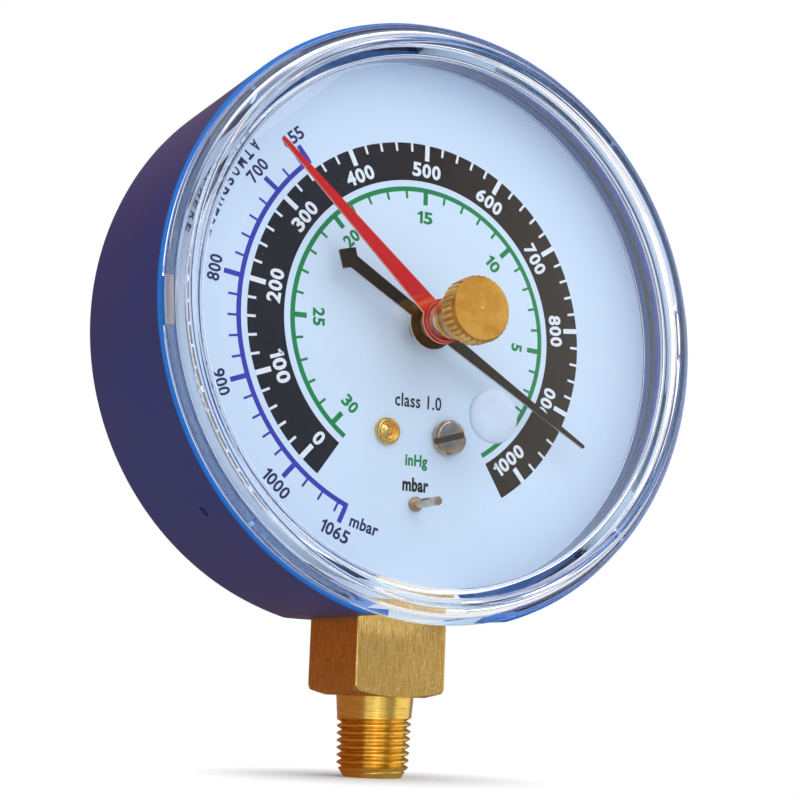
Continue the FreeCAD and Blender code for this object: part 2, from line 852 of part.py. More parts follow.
def make_sector_gear():
    pitch = 360 / sector_full_teeth
    facing = sector_direction + 180
    first = -math.ceil(sector_high / pitch) - sector_spare_teeth
    last = math.ceil(-sector_low / pitch) + sector_spare_teeth
    outline = []
    for index in range(first, last):
        centre = facing + (index + 0.5) * pitch
        outline += [(sector_at[0] + x, sector_at[1] + up)
                    for x, up in tooth_points(centre, sector_full_teeth)]
    inner_r = sector_r - tooth_dedendum * gear_module - sector_rim
    start = facing + first * pitch
    end = facing + last * pitch
    steps = last - first
    for index in range(steps + 1):
        angle = end + (start - end) * index / steps
        outline.append(shifted(sector_at, inner_r, angle))
    rim = sheet(outline, sector_y, sector_back_y)
    spoke_r = inner_r + sector_rim / 2
    inset = math.degrees(sector_spoke_w / 2 / spoke_r)
    spokes = []
    for angle in (start + inset, end - inset):
        far = shifted(sector_at, spoke_r, angle)
        spokes.append(bar(sector_at, far, sector_spoke_w, sector_spoke_w, sector_y, sector_back_y))
    tail = bar(sector_at, tail_pin_rest, tail_width, tail_width, sector_y, sector_back_y)
    hub = rod(sector_hub_d, sector_back_y - sector_hub_h, sector_back_y, sector_at)
    gear = joined(rim, spokes + [tail, hub])
    gear = drilled(gear, sector_arbor_d + 2 * fit, sector_back_y - sector_hub_h, sector_back_y, sector_at)
    return drilled(gear, link_pin_d + 2 * fit, sector_y, sector_back_y, tail_pin_rest)


def make_sector_arbor():
    front = front_plate_back_y + face_gap
    back = back_plate_y - face_gap
    body = rod(sector_arbor_d, front, back, sector_at)
    pivots = rod(arbor_pivot_d, front_plate_y, movement_back_y, sector_at)
    return joined(body, [pivots])


# Hairspring, collet and stud
def stud_spot():
    return polar(hairspring_outer_d / 2 + stud_d / 2 + fit, hairspring_end_angle)


def spiral(side):
    start_r = collet_d / 2 + fit + hairspring_t
    end_r = hairspring_outer_d / 2 - hairspring_t
    points = []
    steps = int(hairspring_turns * hairspring_points)
    for index in range(steps + 1):
        share = index / steps
        radius = start_r + (end_r - start_r) * share + side * hairspring_t / 2
        angle = hairspring_end_angle - 360 * hairspring_turns * (1 - share)
        points.append(on_dial(radius, angle, spring_y))
    curve = Part.BSplineCurve()
    curve.interpolate(points)
    return curve.toShape(), points[0], points[-1]


def make_hairspring():
    outer, outer_start, outer_end = spiral(1)
    inner, inner_start, inner_end = spiral(-1)
    ends = [
        Part.LineSegment(outer_end, inner_end).toShape(),
        Part.LineSegment(inner_start, outer_start).toShape(),
    ]
    wire = Part.Wire([outer, ends[0], inner, ends[1]])
    return Part.Face(wire).extrude(V(0, hairspring_w, 0))


def make_collet():
    middle = spring_y + hairspring_w / 2
    front = middle - collet_h / 2
    return drilled(rod(collet_d, front, front + collet_h), arbor_d + 2 * fit, front, front + collet_h)


def make_stud():
    return rod(stud_d, spring_y - face_gap, movement_back_y, stud_spot())


# Dial, its fasteners and the stop pin
def make_dial():
    dial = rod(2 * (inside_r - dial_edge_gap), dial_y, dial_back_y)
    dial = drilled(dial, dial_hole_d, dial_y, dial_back_y)
    dial = drilled(dial, dial_screw_d + 2 * hole_clearance, dial_y, dial_back_y, dial_screw_spot())
    dial = drilled(dial, rivet_d + 2 * hole_clearance, dial_y, dial_back_y, rivet_spot())
    return drilled(dial, stop_pin_d + 2 * fit, dial_y, dial_back_y, (0, -stop_pin_drop))


def make_dial_screw():
    spot = dial_screw_spot()
    head = slotted_head(dial_screw_head_d, dial_screw_head_h, dial_y, spot,
                        dial_screw_slot_w, dial_screw_head_h * slot_share, dial_screw_slot_angle)
    return joined(head, [rod(dial_screw_d, dial_y, dial_y + dial_screw_length, spot)])


def make_dial_rivet():
    spot = rivet_spot()
    head = pan_head(rivet_head_d, rivet_head_h, dial_y, -1, spot)
    top = dial_y - rivet_head_h
    head = drilled(head, rivet_cup_d, top, top + rivet_cup_depth, spot)
    return joined(head, [rod(rivet_d, dial_y, dial_y + dial_screw_length, spot)])


def make_stop_pin():
    spot = (0, -stop_pin_drop)
    pin = rod(stop_pin_d, dial_y - stop_pin_reach, dial_back_y + stop_pin_depth, spot)
    collar = rod(stop_pin_collar_d, dial_y - stop_pin_collar_h, dial_y, spot)
    return joined(pin, [collar])


# Hands
def hand_blade(angle, radius, root_w, tip_w, y_start, y_end):
    return bar((0, 0), polar(radius - tip_w / 2, angle), root_w, tip_w, y_start, y_end)


def make_pointer():
    back = hand_y + hand_t
    blade = hand_blade(rest_angle, hand_tip_radius, hand_root_w, hand_tip_w, hand_y, back)
    tail_angle = rest_angle + 180
    head_at = polar(hand_tail - tail_head_w / 2, tail_angle)
    tail = bar((0, 0), head_at, tail_root_w, tail_bar_w, hand_y, back)
    head = sheet([shifted(head_at, tail_head_w / 2, tail_angle + turn) for turn in (0, 90, 180, 270)],
                 hand_y, back)
    hand = joined(blade, [tail, head, rod(hand_hub_d, hand_y, back)])
    return drilled(hand, bush_d + 2 * fit, hand_y, back)


def make_pointer_bush():
    cup_y = bush_front_y + bush_cup_depth
    flange_y = hand_y + hand_t
    bush = joined(rod(bush_d, bush_front_y, bush_back_y), [rod(bush_flange_d, flange_y, bush_back_y)])
    bush = drilled(bush, bush_cup_d, bush_front_y, cup_y)
    return drilled(bush, arbor_d + 2 * fit, cup_y, bush_back_y)


def make_set_pointer():
    blade = hand_blade(set_angle, set_tip_radius, set_root_w, set_tip_w, set_y, set_back_y)
    hub = rod(set_hub_d, set_y, set_back_y)
    boss = rod(set_boss_d, washer_back_y + rim_gap, set_y)
    hand = joined(blade, [hub, boss])
    return drilled(hand, knob_tail_d + 2 * fit, washer_back_y, set_back_y)


def make_friction_washer():
    washer = rod(washer_d, washer_y, washer_back_y)
    return drilled(washer, knob_shaft_d + 2 * fit, washer_y, washer_back_y)


def make_knob():
    radius = knob_d / 2
    knurl_y = knob_front_y + knob_chamfer
    knurl_back = knurl_y + knurl_length
    outline = []
    for index in range(knurl_count):
        step = 360 / knurl_count
        outline.append(polar(radius - knurl_depth, index * step))
        outline.append(polar(radius, (index + 0.5 - knurl_ridge / 2) * step))
        outline.append(polar(radius, (index + 0.5 + knurl_ridge / 2) * step))
    band = sheet(outline, knurl_y - knob_chamfer, knurl_back)
    bevel = turned([(0, knob_front_y), (knob_face_d / 2, knob_front_y), (radius, knurl_y),
                    (radius, knurl_back - knob_chamfer), (knob_face_d / 2, knurl_back), (0, knurl_back)])
    neck_y = window_front_y - face_gap
    flare_y = neck_y - knob_neck_length
    flare = turned([(0, knurl_back), (knob_face_d / 2 - knurl_depth, knurl_back),
                    (knob_taper_d / 2, flare_y), (knob_neck_d / 2, flare_y + knob_chamfer),
                    (knob_neck_d / 2, neck_y), (0, neck_y)])
    shaft = rod(knob_shaft_d, neck_y, washer_back_y + rim_gap)
    tail = rod(knob_tail_d, washer_back_y + rim_gap, set_back_y)
    rivet = rod(knob_rivet_d, set_back_y, set_back_y + knob_rivet_h)
    return joined(band.common(bevel), [flare, shaft, tail, rivet])


# Window and its plug
def plug_spot():
    return plug_x, -plug_drop


def make_window():
    outer = case_r - window_rim_inset
    shoulder_r = outer - window_shoulder_step
    front_r = shoulder_r - window_front_step
    ring_in_r = front_r - window_ring_w
    skirt_r = mouth_r - window_gap
    skirt_in_r = skirt_r - window_skirt_t
    hollow_r = skirt_in_r - window_hollow_step
    hollow_top_r = hollow_r - window_hollow_slope
    tube_r = hollow_top_r - window_tube_gap
    tube_in_r = tube_r - window_tube_t
    flange_back = rim_y - rim_gap
    skirt_end = seat_y - gasket_t - rim_gap
    tube_end = dial_y - window_tube_clear
    profile = [
        (0, window_front_y),
        (ring_in_r - window_ring_slope, window_front_y),
        (ring_in_r, rim_y - window_front_rise),
        (front_r, rim_y - window_front_rise),
        (shoulder_r, rim_y - window_shoulder_rise),
        (outer, flange_back - window_flange_straight),
        (outer, flange_back),
        (skirt_r, flange_back),
        (skirt_r, skirt_end),
        (skirt_in_r, skirt_end),
        (skirt_in_r, flange_back - window_hollow_back),
        (hollow_r, rim_y - window_hollow_rise),
        (hollow_top_r, rim_y - window_hollow_top_rise),
        (tube_r, rim_y - window_hollow_top_rise),
        (tube_r, tube_end),
        (tube_in_r, tube_end),
        (tube_in_r - window_tube_foot_step, window_back_y),
        (0, window_back_y),
    ]
    window = turned(profile)
    flat_z = case_flat_z + case_wall + window_gap + window_flat_rise
    below = box(-case_r, case_r, rim_y - rim_gap, skirt_end, axis_z - case_r, flat_z)
    window = window.cut(below)
    for side in (90, 270):
        notch = box(outer - window_notch_depth, outer + cut_over, flange_back - window_notch_back,
                    flange_back, axis_z - window_notch_w / 2, axis_z + window_notch_w / 2)
        notch.rotate(V(0, 0, axis_z), V(0, 1, 0), window_notch_turn + side - 90)
        window = window.cut(notch)
    for angle in window_slot_angles:
        slot = box(skirt_in_r - rim_gap, skirt_r + rim_gap, skirt_end - window_slot_length, skirt_end,
                   axis_z - window_slot_w / 2, axis_z + window_slot_w / 2)
        slot.rotate(V(0, 0, axis_z), V(0, 1, 0), angle - 90)
        window = window.cut(slot)
    window = drilled(window, knob_shaft_d + 2 * running, window_front_y, window_back_y)
    return drilled(window, plug_hole_d, window_front_y, window_back_y, plug_spot())


def make_window_plug():
    stem_d = plug_hole_d - 2 * running
    spot = plug_spot()
    flange_y = window_front_y - plug_flange_h
    flange = rod(plug_flange_d, flange_y, window_front_y, spot)
    step = rod(plug_step_d, flange_y - plug_step_h, flange_y, spot)
    stem = rod(stem_d, window_front_y, window_front_y + plug_length, spot)
    return joined(flange, [step, stem])


def make_all():
    return {
        "case": make_case(),
        "gasket": make_gasket(),
        "case_screws": make_case_screws(),
        "socket": make_socket(),
        "bourdon_tube": make_bourdon_tube(),
        "tube_tip": make_tube_tip(),
        "tip_pin": make_tip_pin(),
        "link": make_link(),
        "movement_front_plate": make_front_plate(),
        "movement_back_plate": make_back_plate(),
        "movement_pillars": make_pillars(),
        "plate_screws": make_plate_screws(),
        "movement_screws": make_movement_screws(),
        "sector_gear": make_sector_gear(),
        "sector_arbor": make_sector_arbor(),
        "sector_pin": make_sector_pin(),
        "pinion_arbor": make_pinion_arbor(),
        "hairspring": make_hairspring(),
        "hairspring_collet": make_collet(),
        "hairspring_stud": make_stud(),
        "dial": make_dial(),
        "dial_screw": make_dial_screw(),
        "dial_rivet": make_dial_rivet(),
        "stop_pin": make_stop_pin(),
        "pointer": make_pointer(),
        "pointer_bush": make_pointer_bush(),
        "window": make_window(),
        "window_plug": make_window_plug(),
        "set_knob": make_knob(),
        "set_pointer": make_set_pointer(),
        "friction_washer": make_friction_washer(),
    }


os.makedirs("parts", exist_ok=True)
for node, shape in make_all().items():
    shape.exportStep(f"parts/{node}.step")
    print(node, "solids", len(shape.Solids), "volume", round(shape.Volume, 3), "valid", shape.isValid())
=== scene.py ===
import math
import bmesh
import bpy
from mathutils import Matrix, Vector


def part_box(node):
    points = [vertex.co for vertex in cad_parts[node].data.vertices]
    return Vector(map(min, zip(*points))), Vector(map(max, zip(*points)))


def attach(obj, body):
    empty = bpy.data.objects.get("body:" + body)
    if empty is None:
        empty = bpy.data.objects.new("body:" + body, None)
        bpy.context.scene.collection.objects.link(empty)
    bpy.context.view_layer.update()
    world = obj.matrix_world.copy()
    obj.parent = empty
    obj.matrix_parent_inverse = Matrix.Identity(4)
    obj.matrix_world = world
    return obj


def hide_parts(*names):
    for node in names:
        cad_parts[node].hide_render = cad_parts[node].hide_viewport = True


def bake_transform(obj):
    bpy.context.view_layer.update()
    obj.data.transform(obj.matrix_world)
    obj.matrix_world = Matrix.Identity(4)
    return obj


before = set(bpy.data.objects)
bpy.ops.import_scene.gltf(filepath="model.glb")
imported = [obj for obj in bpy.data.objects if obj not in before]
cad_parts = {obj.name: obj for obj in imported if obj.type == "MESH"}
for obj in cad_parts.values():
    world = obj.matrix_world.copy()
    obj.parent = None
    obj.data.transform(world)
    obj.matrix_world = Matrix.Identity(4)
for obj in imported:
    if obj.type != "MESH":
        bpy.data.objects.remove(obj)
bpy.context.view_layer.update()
print("frame loaded:", len(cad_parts), "pieces")

# The gauge stands on its stem with the dial towards -Y. Sizes below are in millimetres,
# and dial angles run clockwise from twelve o'clock.
mm = 0.001
dialLow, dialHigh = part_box("dial")
axisZ = (dialLow.z + dialHigh.z) / 2
dialY = dialLow.y / mm
caseLow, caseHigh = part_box("case")
rimY = caseLow.y / mm
backY = caseHigh.y / mm
caseRadius = caseHigh.x / mm
flatUp = (caseLow.z - axisZ) / mm
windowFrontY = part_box("window")[0].y / mm
plateY = windowFrontY + 1.9  # the window's plate lies a little behind its front ring
past = 2  # how far a cut runs on beyond the face that it opens


def onDial(radius, angle, y):
    turn = math.radians(angle)
    return Vector((mm * radius * math.sin(turn), mm * y, axisZ + mm * radius * math.cos(turn)))


def middleOf(node):
    low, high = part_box(node)
    return (low.x + high.x) / 2 / mm, ((low.z + high.z) / 2 - axisZ) / mm


def clockwise(angle):
    return Matrix.Rotation(math.radians(angle), 4, "Y")


# Shaping
def lathe(profile, steps=192, centre=(0, 0), closed=False):
    # profile: (radius, y, rounding) of each corner
    bm = bmesh.new()
    x, up = centre
    corners = [bm.verts.new((mm * (x + r), mm * y, axisZ + mm * up)) for r, y, _ in profile]
    for pair in zip(corners, corners[1:]):
        bm.edges.new(pair)
    if closed:
        bm.edges.new((corners[-1], corners[0]))
    for corner, (_, _, rounding) in zip(corners, profile):
        if rounding:
            bmesh.ops.bevel(bm, geom=[corner], offset=rounding * mm, offset_type="OFFSET", segments=4,
                            profile=0.5, affect="VERTICES", material=-1)
    bmesh.ops.spin(bm, geom=bm.verts[:] + bm.edges[:], cent=(mm * x, 0, axisZ + mm * up), axis=(0, 1, 0),
                   dvec=(0, 0, 0), angle=2 * math.pi, steps=steps, use_merge=True, use_duplicate=False)
    return cleaned(bm)


def cleaned(bm):
    bmesh.ops.remove_doubles(bm, verts=bm.verts[:], dist=1e-7)
    bmesh.ops.recalc_face_normals(bm, faces=bm.faces[:])
    return bm


def asMesh(bm, name="scratch"):
    mesh = bpy.data.meshes.new(name)
    bm.to_mesh(mesh)
    bm.free()
    return mesh


def fromMesh(mesh):
    bm = bmesh.new()
    bm.from_mesh(mesh)
    bpy.data.meshes.remove(mesh)
    return bm


def merged(parts):
    whole = bmesh.new()
    for part in parts:
        mesh = asMesh(part)
        whole.from_mesh(mesh)
        bpy.data.meshes.remove(mesh)
    return whole


def carved(bm, cutters):
    base = bpy.data.objects.new("base", asMesh(bm))
    tool = bpy.data.objects.new("tool", asMesh(merged(cutters)))
    for thing in (base, tool):
        bpy.context.scene.collection.objects.link(thing)
    cut = base.modifiers.new("cut", "BOOLEAN")
    cut.object = tool
    cut.operation = "DIFFERENCE"
    cut.solver = "EXACT"
    result = bpy.data.meshes.new_from_object(base.evaluated_get(bpy.context.evaluated_depsgraph_get()))
    for thing in (base, tool):
        mesh = thing.data
        bpy.data.objects.remove(thing)
        bpy.data.meshes.remove(mesh)
    return fromMesh(result)


def boxAt(low, high):
    # low and high: (x, y, up) from the dial's axis
    bm = bmesh.new()
    size = [mm * (b - a) for a, b in zip(low, high)]
    middle = [mm * (a + b) / 2 for a, b in zip(low, high)]
    middle[2] += axisZ
    bmesh.ops.create_cube(bm, size=1, matrix=Matrix.Translation(middle) @ Matrix.Diagonal((*size, 1)))
    return bm


def turnedAbout(bm, angle, centre=(0, 0)):
    hub = Matrix.Translation((mm * centre[0], 0, axisZ + mm * centre[1]))
    bmesh.ops.transform(bm, matrix=hub @ clockwise(angle) @ hub.inverted(), verts=bm.verts[:])
    return bm


def fromCad(node, flatten=False):
    bm = bmesh.new()
    bm.from_mesh(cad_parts[node].data)
    bmesh.ops.remove_doubles(bm, verts=bm.verts[:], dist=1e-6)
    if flatten:
        bmesh.ops.dissolve_limit(bm, angle_limit=math.radians(0.5), verts=bm.verts[:], edges=bm.edges[:],
                                 use_dissolve_boundaries=False)
    return bm


def addPiece(name, bm, materials, body, replaces=(), sharp=32):
    # body: the CAD body it moves with, or None for one that is left unattached
    for edge in bm.edges:
        edge.smooth = len(edge.link_faces) == 2 and edge.calc_face_angle() < math.radians(sharp)
    for face in bm.faces:
        face.smooth = True
    piece = bpy.data.objects.new(name, asMesh(bm, name))
    bpy.context.scene.collection.objects.link(piece)
    for material in materials:
        piece.data.materials.append(material)
    if body:
        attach(piece, body)
    if replaces:
        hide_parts(*replaces)
    return piece


def softenEdges(piece, width):
    bevel = piece.modifiers.new("edges", "BEVEL")
    bevel.width = width * mm
    bevel.segments = 2
    bevel.limit_method = "ANGLE"
    bevel.angle_limit = math.radians(40)
    bevel.miter_outer = "MITER_ARC"
    bevel.harden_normals = True
    return piece


def flatFaces(piece):
    # keeps the wide faces flat to the eye, which matters most where one looks through them
    level = piece.modifiers.new("flat", "WEIGHTED_NORMAL")
    level.keep_sharp = True
    level.weight = 100
    return piece


# Materials
def hexColour(code):
    channels = [int(code[i:i + 2], 16) / 255 for i in (1, 3, 5)]
    return (*[c / 12.92 if c <= 0.04045 else ((c + 0.055) / 1.055) ** 2.4 for c in channels], 1)


def addNode(tree, kind, inputs=(), **settings):
    # inputs: values, sockets or nodes (their first output is used), in order or by name
    node = tree.nodes.new("ShaderNode" + kind)
    for name, value in settings.items():
        setattr(node, name, value)
    for key, value in inputs.items() if isinstance(inputs, dict) else enumerate(inputs):
        if isinstance(value, bpy.types.Node):
            value = value.outputs[0]
        if isinstance(value, bpy.types.NodeSocket):
            tree.links.new(value, node.inputs[key])
        else:
            node.inputs[key].default_value = value
    return node


def startMaterial(name):
    material = bpy.data.materials.new(name)
    material.use_nodes = True
    tree = material.node_tree
    tree.nodes.clear()
    return material, tree, addNode(tree, "TexCoord").outputs["Object"]


def makeEnamel(name, litTop, shadedBottom, cloudy):
    # stoved enamel on pressed steel: satin, with a trace of orange peel and slow random changes of tone; it
    # is also painted darker towards the bottom, a painted shade
    look = {"spread": 25, "cloud": 12, "cloudShare": 0.35, "peel": 0.6, "peelDepth": 0.01}
    material, tree, place = startMaterial(name)
    height = addNode(tree, "SeparateXYZ", [place]).outputs["Z"]
    # painted shade: the colour runs from the darker tone at the bottom to the lighter one at the top
    high = addNode(tree, "MapRange", [height, axisZ - mm * look["spread"], axisZ + mm * look["spread"]])
    colour = addNode(tree, "MixRGB", [high, hexColour(shadedBottom), hexColour(litTop)])
    cloud = addNode(tree, "TexNoise", {"Vector": place, "Scale": 1 / (mm * look["cloud"]), "Detail": 3})
    share = addNode(tree, "MapRange", [cloud, 0.35, 0.7, 0, look["cloudShare"]])
    peel = addNode(tree, "TexNoise", {"Vector": place, "Scale": 1 / (mm * look["peel"]), "Detail": 3})
    shader = addNode(tree, "BsdfPrincipled", {
        "Base Color": addNode(tree, "MixRGB", [share, colour, hexColour(cloudy)]),
        "Roughness": 0.42, "Coat Weight": 0.05, "Coat Roughness": 0.2, "Specular IOR Level": 0.15,
        "Normal": addNode(tree, "Bump", {"Distance": mm * look["peelDepth"], "Height": peel})})
    addNode(tree, "OutputMaterial", [shader])
    return material


def makeSocketBrass():
    # free-machining brass: a block drawn square, with upright grain flecked with pale painted glints, and a
    # stem turned smooth and brighter, its lighter colour partly a painted highlight; the grain is drawn a
    # little coarser than the real one so that it shows
    look = {"light": "#f0cf86", "dark": "#c89c48", "glint": "#fff0c8", "turned": "#fbe080",
            "turnedDark": "#e4b448", "blockFrom": 10.5, "blend": 0.1, "grain": 0.16, "grainLength": 14,
            "ringLength": 12, "glintSize": 0.2, "glintLength": 2, "turnedRoughness": 0.2, "depth": 0.012}
    material, tree, place = startMaterial("machinedBrass")
    height = addNode(tree, "SeparateXYZ", [place]).outputs["Z"]
    onBlock = addNode(tree, "MapRange", [height, mm * (look["blockFrom"] - look["blend"]),
                                         mm * (look["blockFrom"] + look["blend"])])
    drawn = addNode(tree, "VectorMath", [place, (1, 1, look["grainLength"])], operation="DIVIDE")
    grain = addNode(tree, "TexNoise", {"Vector": drawn, "Scale": 1 / (mm * look["grain"]), "Detail": 4})
    turning = addNode(tree, "VectorMath", [place, (look["ringLength"], look["ringLength"], 1)],
                      operation="DIVIDE")
    rings = addNode(tree, "TexNoise", {"Vector": turning, "Scale": 1 / (mm * look["grain"]), "Detail": 3})
    upright = addNode(tree, "VectorMath", [place, (1, 1, look["glintLength"])], operation="DIVIDE")
    paintedGlints = addNode(tree, "TexNoise", {"Vector": upright, "Scale": 1 / (mm * look["glintSize"]),
                                        "Detail": 1})
    block = addNode(tree, "MixRGB", [addNode(tree, "MapRange", [grain, 0.35, 0.65]), hexColour(look["dark"]),
                                     hexColour(look["light"])])
    # painted glints: pale specks mixed into the block's colour
    block = addNode(tree, "MixRGB", [addNode(tree, "MapRange", [paintedGlints, 0.66, 0.72]), block,
                                     hexColour(look["glint"])])
    # the stem's lighter tones: partly a painted highlight
    turned = addNode(tree, "MixRGB", [addNode(tree, "MapRange", [rings, 0.3, 0.7]),
                                      hexColour(look["turnedDark"]), hexColour(look["turned"])])
    drawnRoughness = addNode(tree, "MapRange", [grain, 0.3, 0.7, 0.42, 0.26])
    relief = addNode(tree, "MixRGB", [onBlock, rings, grain])
    shader = addNode(tree, "BsdfPrincipled", {
        "Metallic": 1.0,
        "Base Color": addNode(tree, "MixRGB", [onBlock, turned, block]),
        "Roughness": addNode(tree, "MixRGB", [onBlock, (*[look["turnedRoughness"]] * 3, 1), drawnRoughness]),
        "Normal": addNode(tree, "Bump", {"Distance": mm * look["depth"], "Height": relief})})
    addNode(tree, "OutputMaterial", [shader])
    return material


def makeKnobBrass():
    # turned brass with a little lacquer: fine rings around the face and a small centre pip
    look = {"light": "#e6b45c", "dark": "#c98f38", "ring": 0.16, "pip": 0.28, "pipHeight": 3, "cloud": 2.5,
            "depth": 0.012}
    material, tree, place = startMaterial("turnedBrass")
    flat = addNode(tree, "VectorMath", [place, (1, 0, 1)], operation="MULTIPLY")
    distance = addNode(tree, "VectorMath", [flat, (0, 0, axisZ)], operation="DISTANCE").outputs["Value"]
    outwards = addNode(tree, "CombineXYZ", [distance])
    rings = addNode(tree, "TexNoise", {"Vector": outwards, "Scale": 1 / (mm * look["ring"]), "Detail": 3})
    cloud = addNode(tree, "TexNoise", {"Vector": place, "Scale": 1 / (mm * look["cloud"]), "Detail": 2})
    pip = addNode(tree, "MapRange", [distance, mm * look["pip"], 0, 0, look["pipHeight"]])
    relief = addNode(tree, "Math", [rings, pip], operation="ADD")
    shader = addNode(tree, "BsdfPrincipled", {
        "Metallic": 1.0, "Coat Weight": 0.1,
        "Base Color": addNode(tree, "MixRGB", [addNode(tree, "MapRange", [cloud, 0.3, 0.7]),
                                               hexColour(look["dark"]), hexColour(look["light"])]),
        "Roughness": addNode(tree, "MapRange", [rings, 0, 1, 0.28, 0.35]),
        "Normal": addNode(tree, "Bump", {"Distance": mm * look["depth"], "Height": relief})})
    addNode(tree, "OutputMaterial", [shader])
    return material


def makeMetal(name, light, dark, roughness, grain=0.3, stretch=(1, 1, 1)):
    # small metal parts: bright, with patches that are darker and a little rougher where they are worn
    look = {"rougher": 0.06, "smoother": 0.04, "depth": 0.003}
    material, tree, place = startMaterial(name)
    along = addNode(tree, "VectorMath", [place, stretch], operation="DIVIDE")
    patches = addNode(tree, "TexNoise", {"Vector": along, "Scale": 1 / (mm * grain), "Detail": 3})
    wear = addNode(tree, "MapRange", [patches, 0.3, 0.7])
    shader = addNode(tree, "BsdfPrincipled", {
        "Metallic": 1.0,
        "Base Color": addNode(tree, "MixRGB", [wear, hexColour(dark), hexColour(light)]),
        "Roughness": addNode(tree, "MapRange", [wear, 0, 1, roughness + look["rougher"],
                                                roughness - look["smoother"]]),
        "Normal": addNode(tree, "Bump", {"Distance": mm * look["depth"], "Height": wear})})
    addNode(tree, "OutputMaterial", [shader])
    return material


def makePaint(name, colour, second, roughness, grain=0.2, depth=0.004, gloss=0.15):
    # paint, ink or rubber: matt to satin, with specks of a second tone that stand a little proud
    material, tree, place = startMaterial(name)
    patches = addNode(tree, "TexNoise", {"Vector": place, "Scale": 1 / (mm * grain), "Detail": 3})
    speck = addNode(tree, "MapRange", [patches, 0.35, 0.7])
    shader = addNode(tree, "BsdfPrincipled", {
        "Base Color": addNode(tree, "MixRGB", [speck, hexColour(colour), hexColour(second)]),
        "Roughness": roughness, "Specular IOR Level": gloss,
        "Normal": addNode(tree, "Bump", {"Distance": mm * depth, "Height": speck})})
    addNode(tree, "OutputMaterial", [shader])
    return material


def makeBandInk():
    # screen-printed black: matt, bluish on the left of the dial, brownish on the right, with specks of dust
    look = {"left": "#10182a", "right": "#221b1b", "bluishTo": -16, "brownishFrom": 4, "dust": "#9aa4b4",
            "dustSize": 0.16, "grain": 0.25, "depth": 0.002}
    material, tree, place = startMaterial("blackPrintInk")
    sideways = addNode(tree, "SeparateXYZ", [place]).outputs["X"]
    across = addNode(tree, "MapRange", [sideways, mm * look["bluishTo"], mm * look["brownishFrom"]])
    colour = addNode(tree, "MixRGB", [across, hexColour(look["left"]), hexColour(look["right"])])
    specks = addNode(tree, "TexNoise", {"Vector": place, "Scale": 1 / (mm * look["dustSize"]), "Detail": 1})
    dust = addNode(tree, "MapRange", [specks, 0.76, 0.8])
    grain = addNode(tree, "TexNoise", {"Vector": place, "Scale": 1 / (mm * look["grain"]), "Detail": 3})
    shader = addNode(tree, "BsdfPrincipled", {
        "Base Color": addNode(tree, "MixRGB", [dust, colour, hexColour(look["dust"])]),
        "Roughness": 0.5, "Specular IOR Level": 0.12,
        "Normal": addNode(tree, "Bump", {"Distance": mm * look["depth"], "Height": grain})})
    addNode(tree, "OutputMaterial", [shader])
    return material


def makeClear(name, colour, ior, roughness):
    # clear moulded plastic with slightly wavy faces; shadows and soft light pass straight through it,
    # and so does a ray about to run out of bounces, so what is behind stays lit
    look = {"wave": 5, "waveDepth": 0.01, "waveStrength": 0.06, "lastBounce": 4.5}
    material, tree, place = startMaterial(name)
    wave = addNode(tree, "TexNoise", {"Vector": place, "Scale": 1 / (mm * look["wave"]), "Detail": 1})
    shader = addNode(tree, "BsdfPrincipled", {
        "Base Color": hexColour(colour), "IOR": ior, "Transmission Weight": 1.0, "Roughness": roughness,
        "Normal": addNode(tree, "Bump", {"Strength": look["waveStrength"],
                                         "Distance": mm * look["waveDepth"], "Height": wave})})
    path = addNode(tree, "LightPath").outputs
    passes = addNode(tree, "Math", [path["Is Shadow Ray"], path["Is Diffuse Ray"]], operation="MAXIMUM")
    tired = addNode(tree, "Math", [path["Ray Depth"], look["lastBounce"]], operation="GREATER_THAN")
    passes = addNode(tree, "Math", [passes, tired], operation="MAXIMUM")
    through = addNode(tree, "BsdfTransparent", [hexColour(colour)])
    addNode(tree, "OutputMaterial", [addNode(tree, "MixShader", [passes, shader, through])])
    return material


def makeMilky():
    # natural silicone: milky, with the dial showing faintly through it
    look = {"colour": "#cfe0f6", "cloud": 2.5, "thin": 0.66, "thick": 0.72, "depth": 0.004}
    material, tree, place = startMaterial("milkySilicone")
    cloud = addNode(tree, "TexNoise", {"Vector": place, "Scale": 1 / (mm * look["cloud"]), "Detail": 1})
    shader = addNode(tree, "BsdfPrincipled", {
        "Base Color": hexColour(look["colour"]), "Roughness": 0.35, "Specular IOR Level": 0.35,
        "Normal": addNode(tree, "Bump", {"Distance": mm * look["depth"], "Height": cloud})})
    body = addNode(tree, "MapRange", [cloud, 0.3, 0.7, look["thin"], look["thick"]])
    clear = addNode(tree, "BsdfTransparent")
    addNode(tree, "OutputMaterial", [addNode(tree, "MixShader", [body, clear, shader])])
    return material


# one stoved enamel in two painted copies: a deep painted shaded copy on the outside, and a bright painted
# lit copy on the rim and inside
shadedEnamel = makeEnamel("stovedBlueEnamelPaintedShade", "#334280", "#203774", "#423e62")
litEnamel = makeEnamel("stovedBlueEnamelPaintedLight", "#1e6cc4", "#1c66bc", "#2468b8")
# moulded nitrile rubber: dull black
rubber = makePaint("nitrileRubber", "#0c0c0e", "#1a1a1c", 0.55, gloss=0.4)
socketBrass = makeSocketBrass()
knobBrass = makeKnobBrass()
# polished brass is pale, with small sharp highlights; stamped sheet is duller and shines softly
rivetBrass = makeMetal("polishedBrass", "#f2d488", "#cfa24e", 0.18)
stampedBrass = makeMetal("stampedBrass", "#dcbb74", "#bd9445", 0.32, 0.4)
# rolled phosphor bronze: redder, with streaks along the strip
bronze = makeMetal("springBronze", "#d09a62", "#a8713f", 0.28, 0.4, (1, 5, 1))
# nickel plate: bright and warm; the screw's slot is darker and rougher, a painted shade in its recess
nickel = makeMetal("nickelPlate", "#d9c8b6", "#a9927c", 0.16, 1.5)
shadedSlot = makeMetal("nickelSlotPaintedShade", "#7d6a5a", "#54453a", 0.42, 0.2)
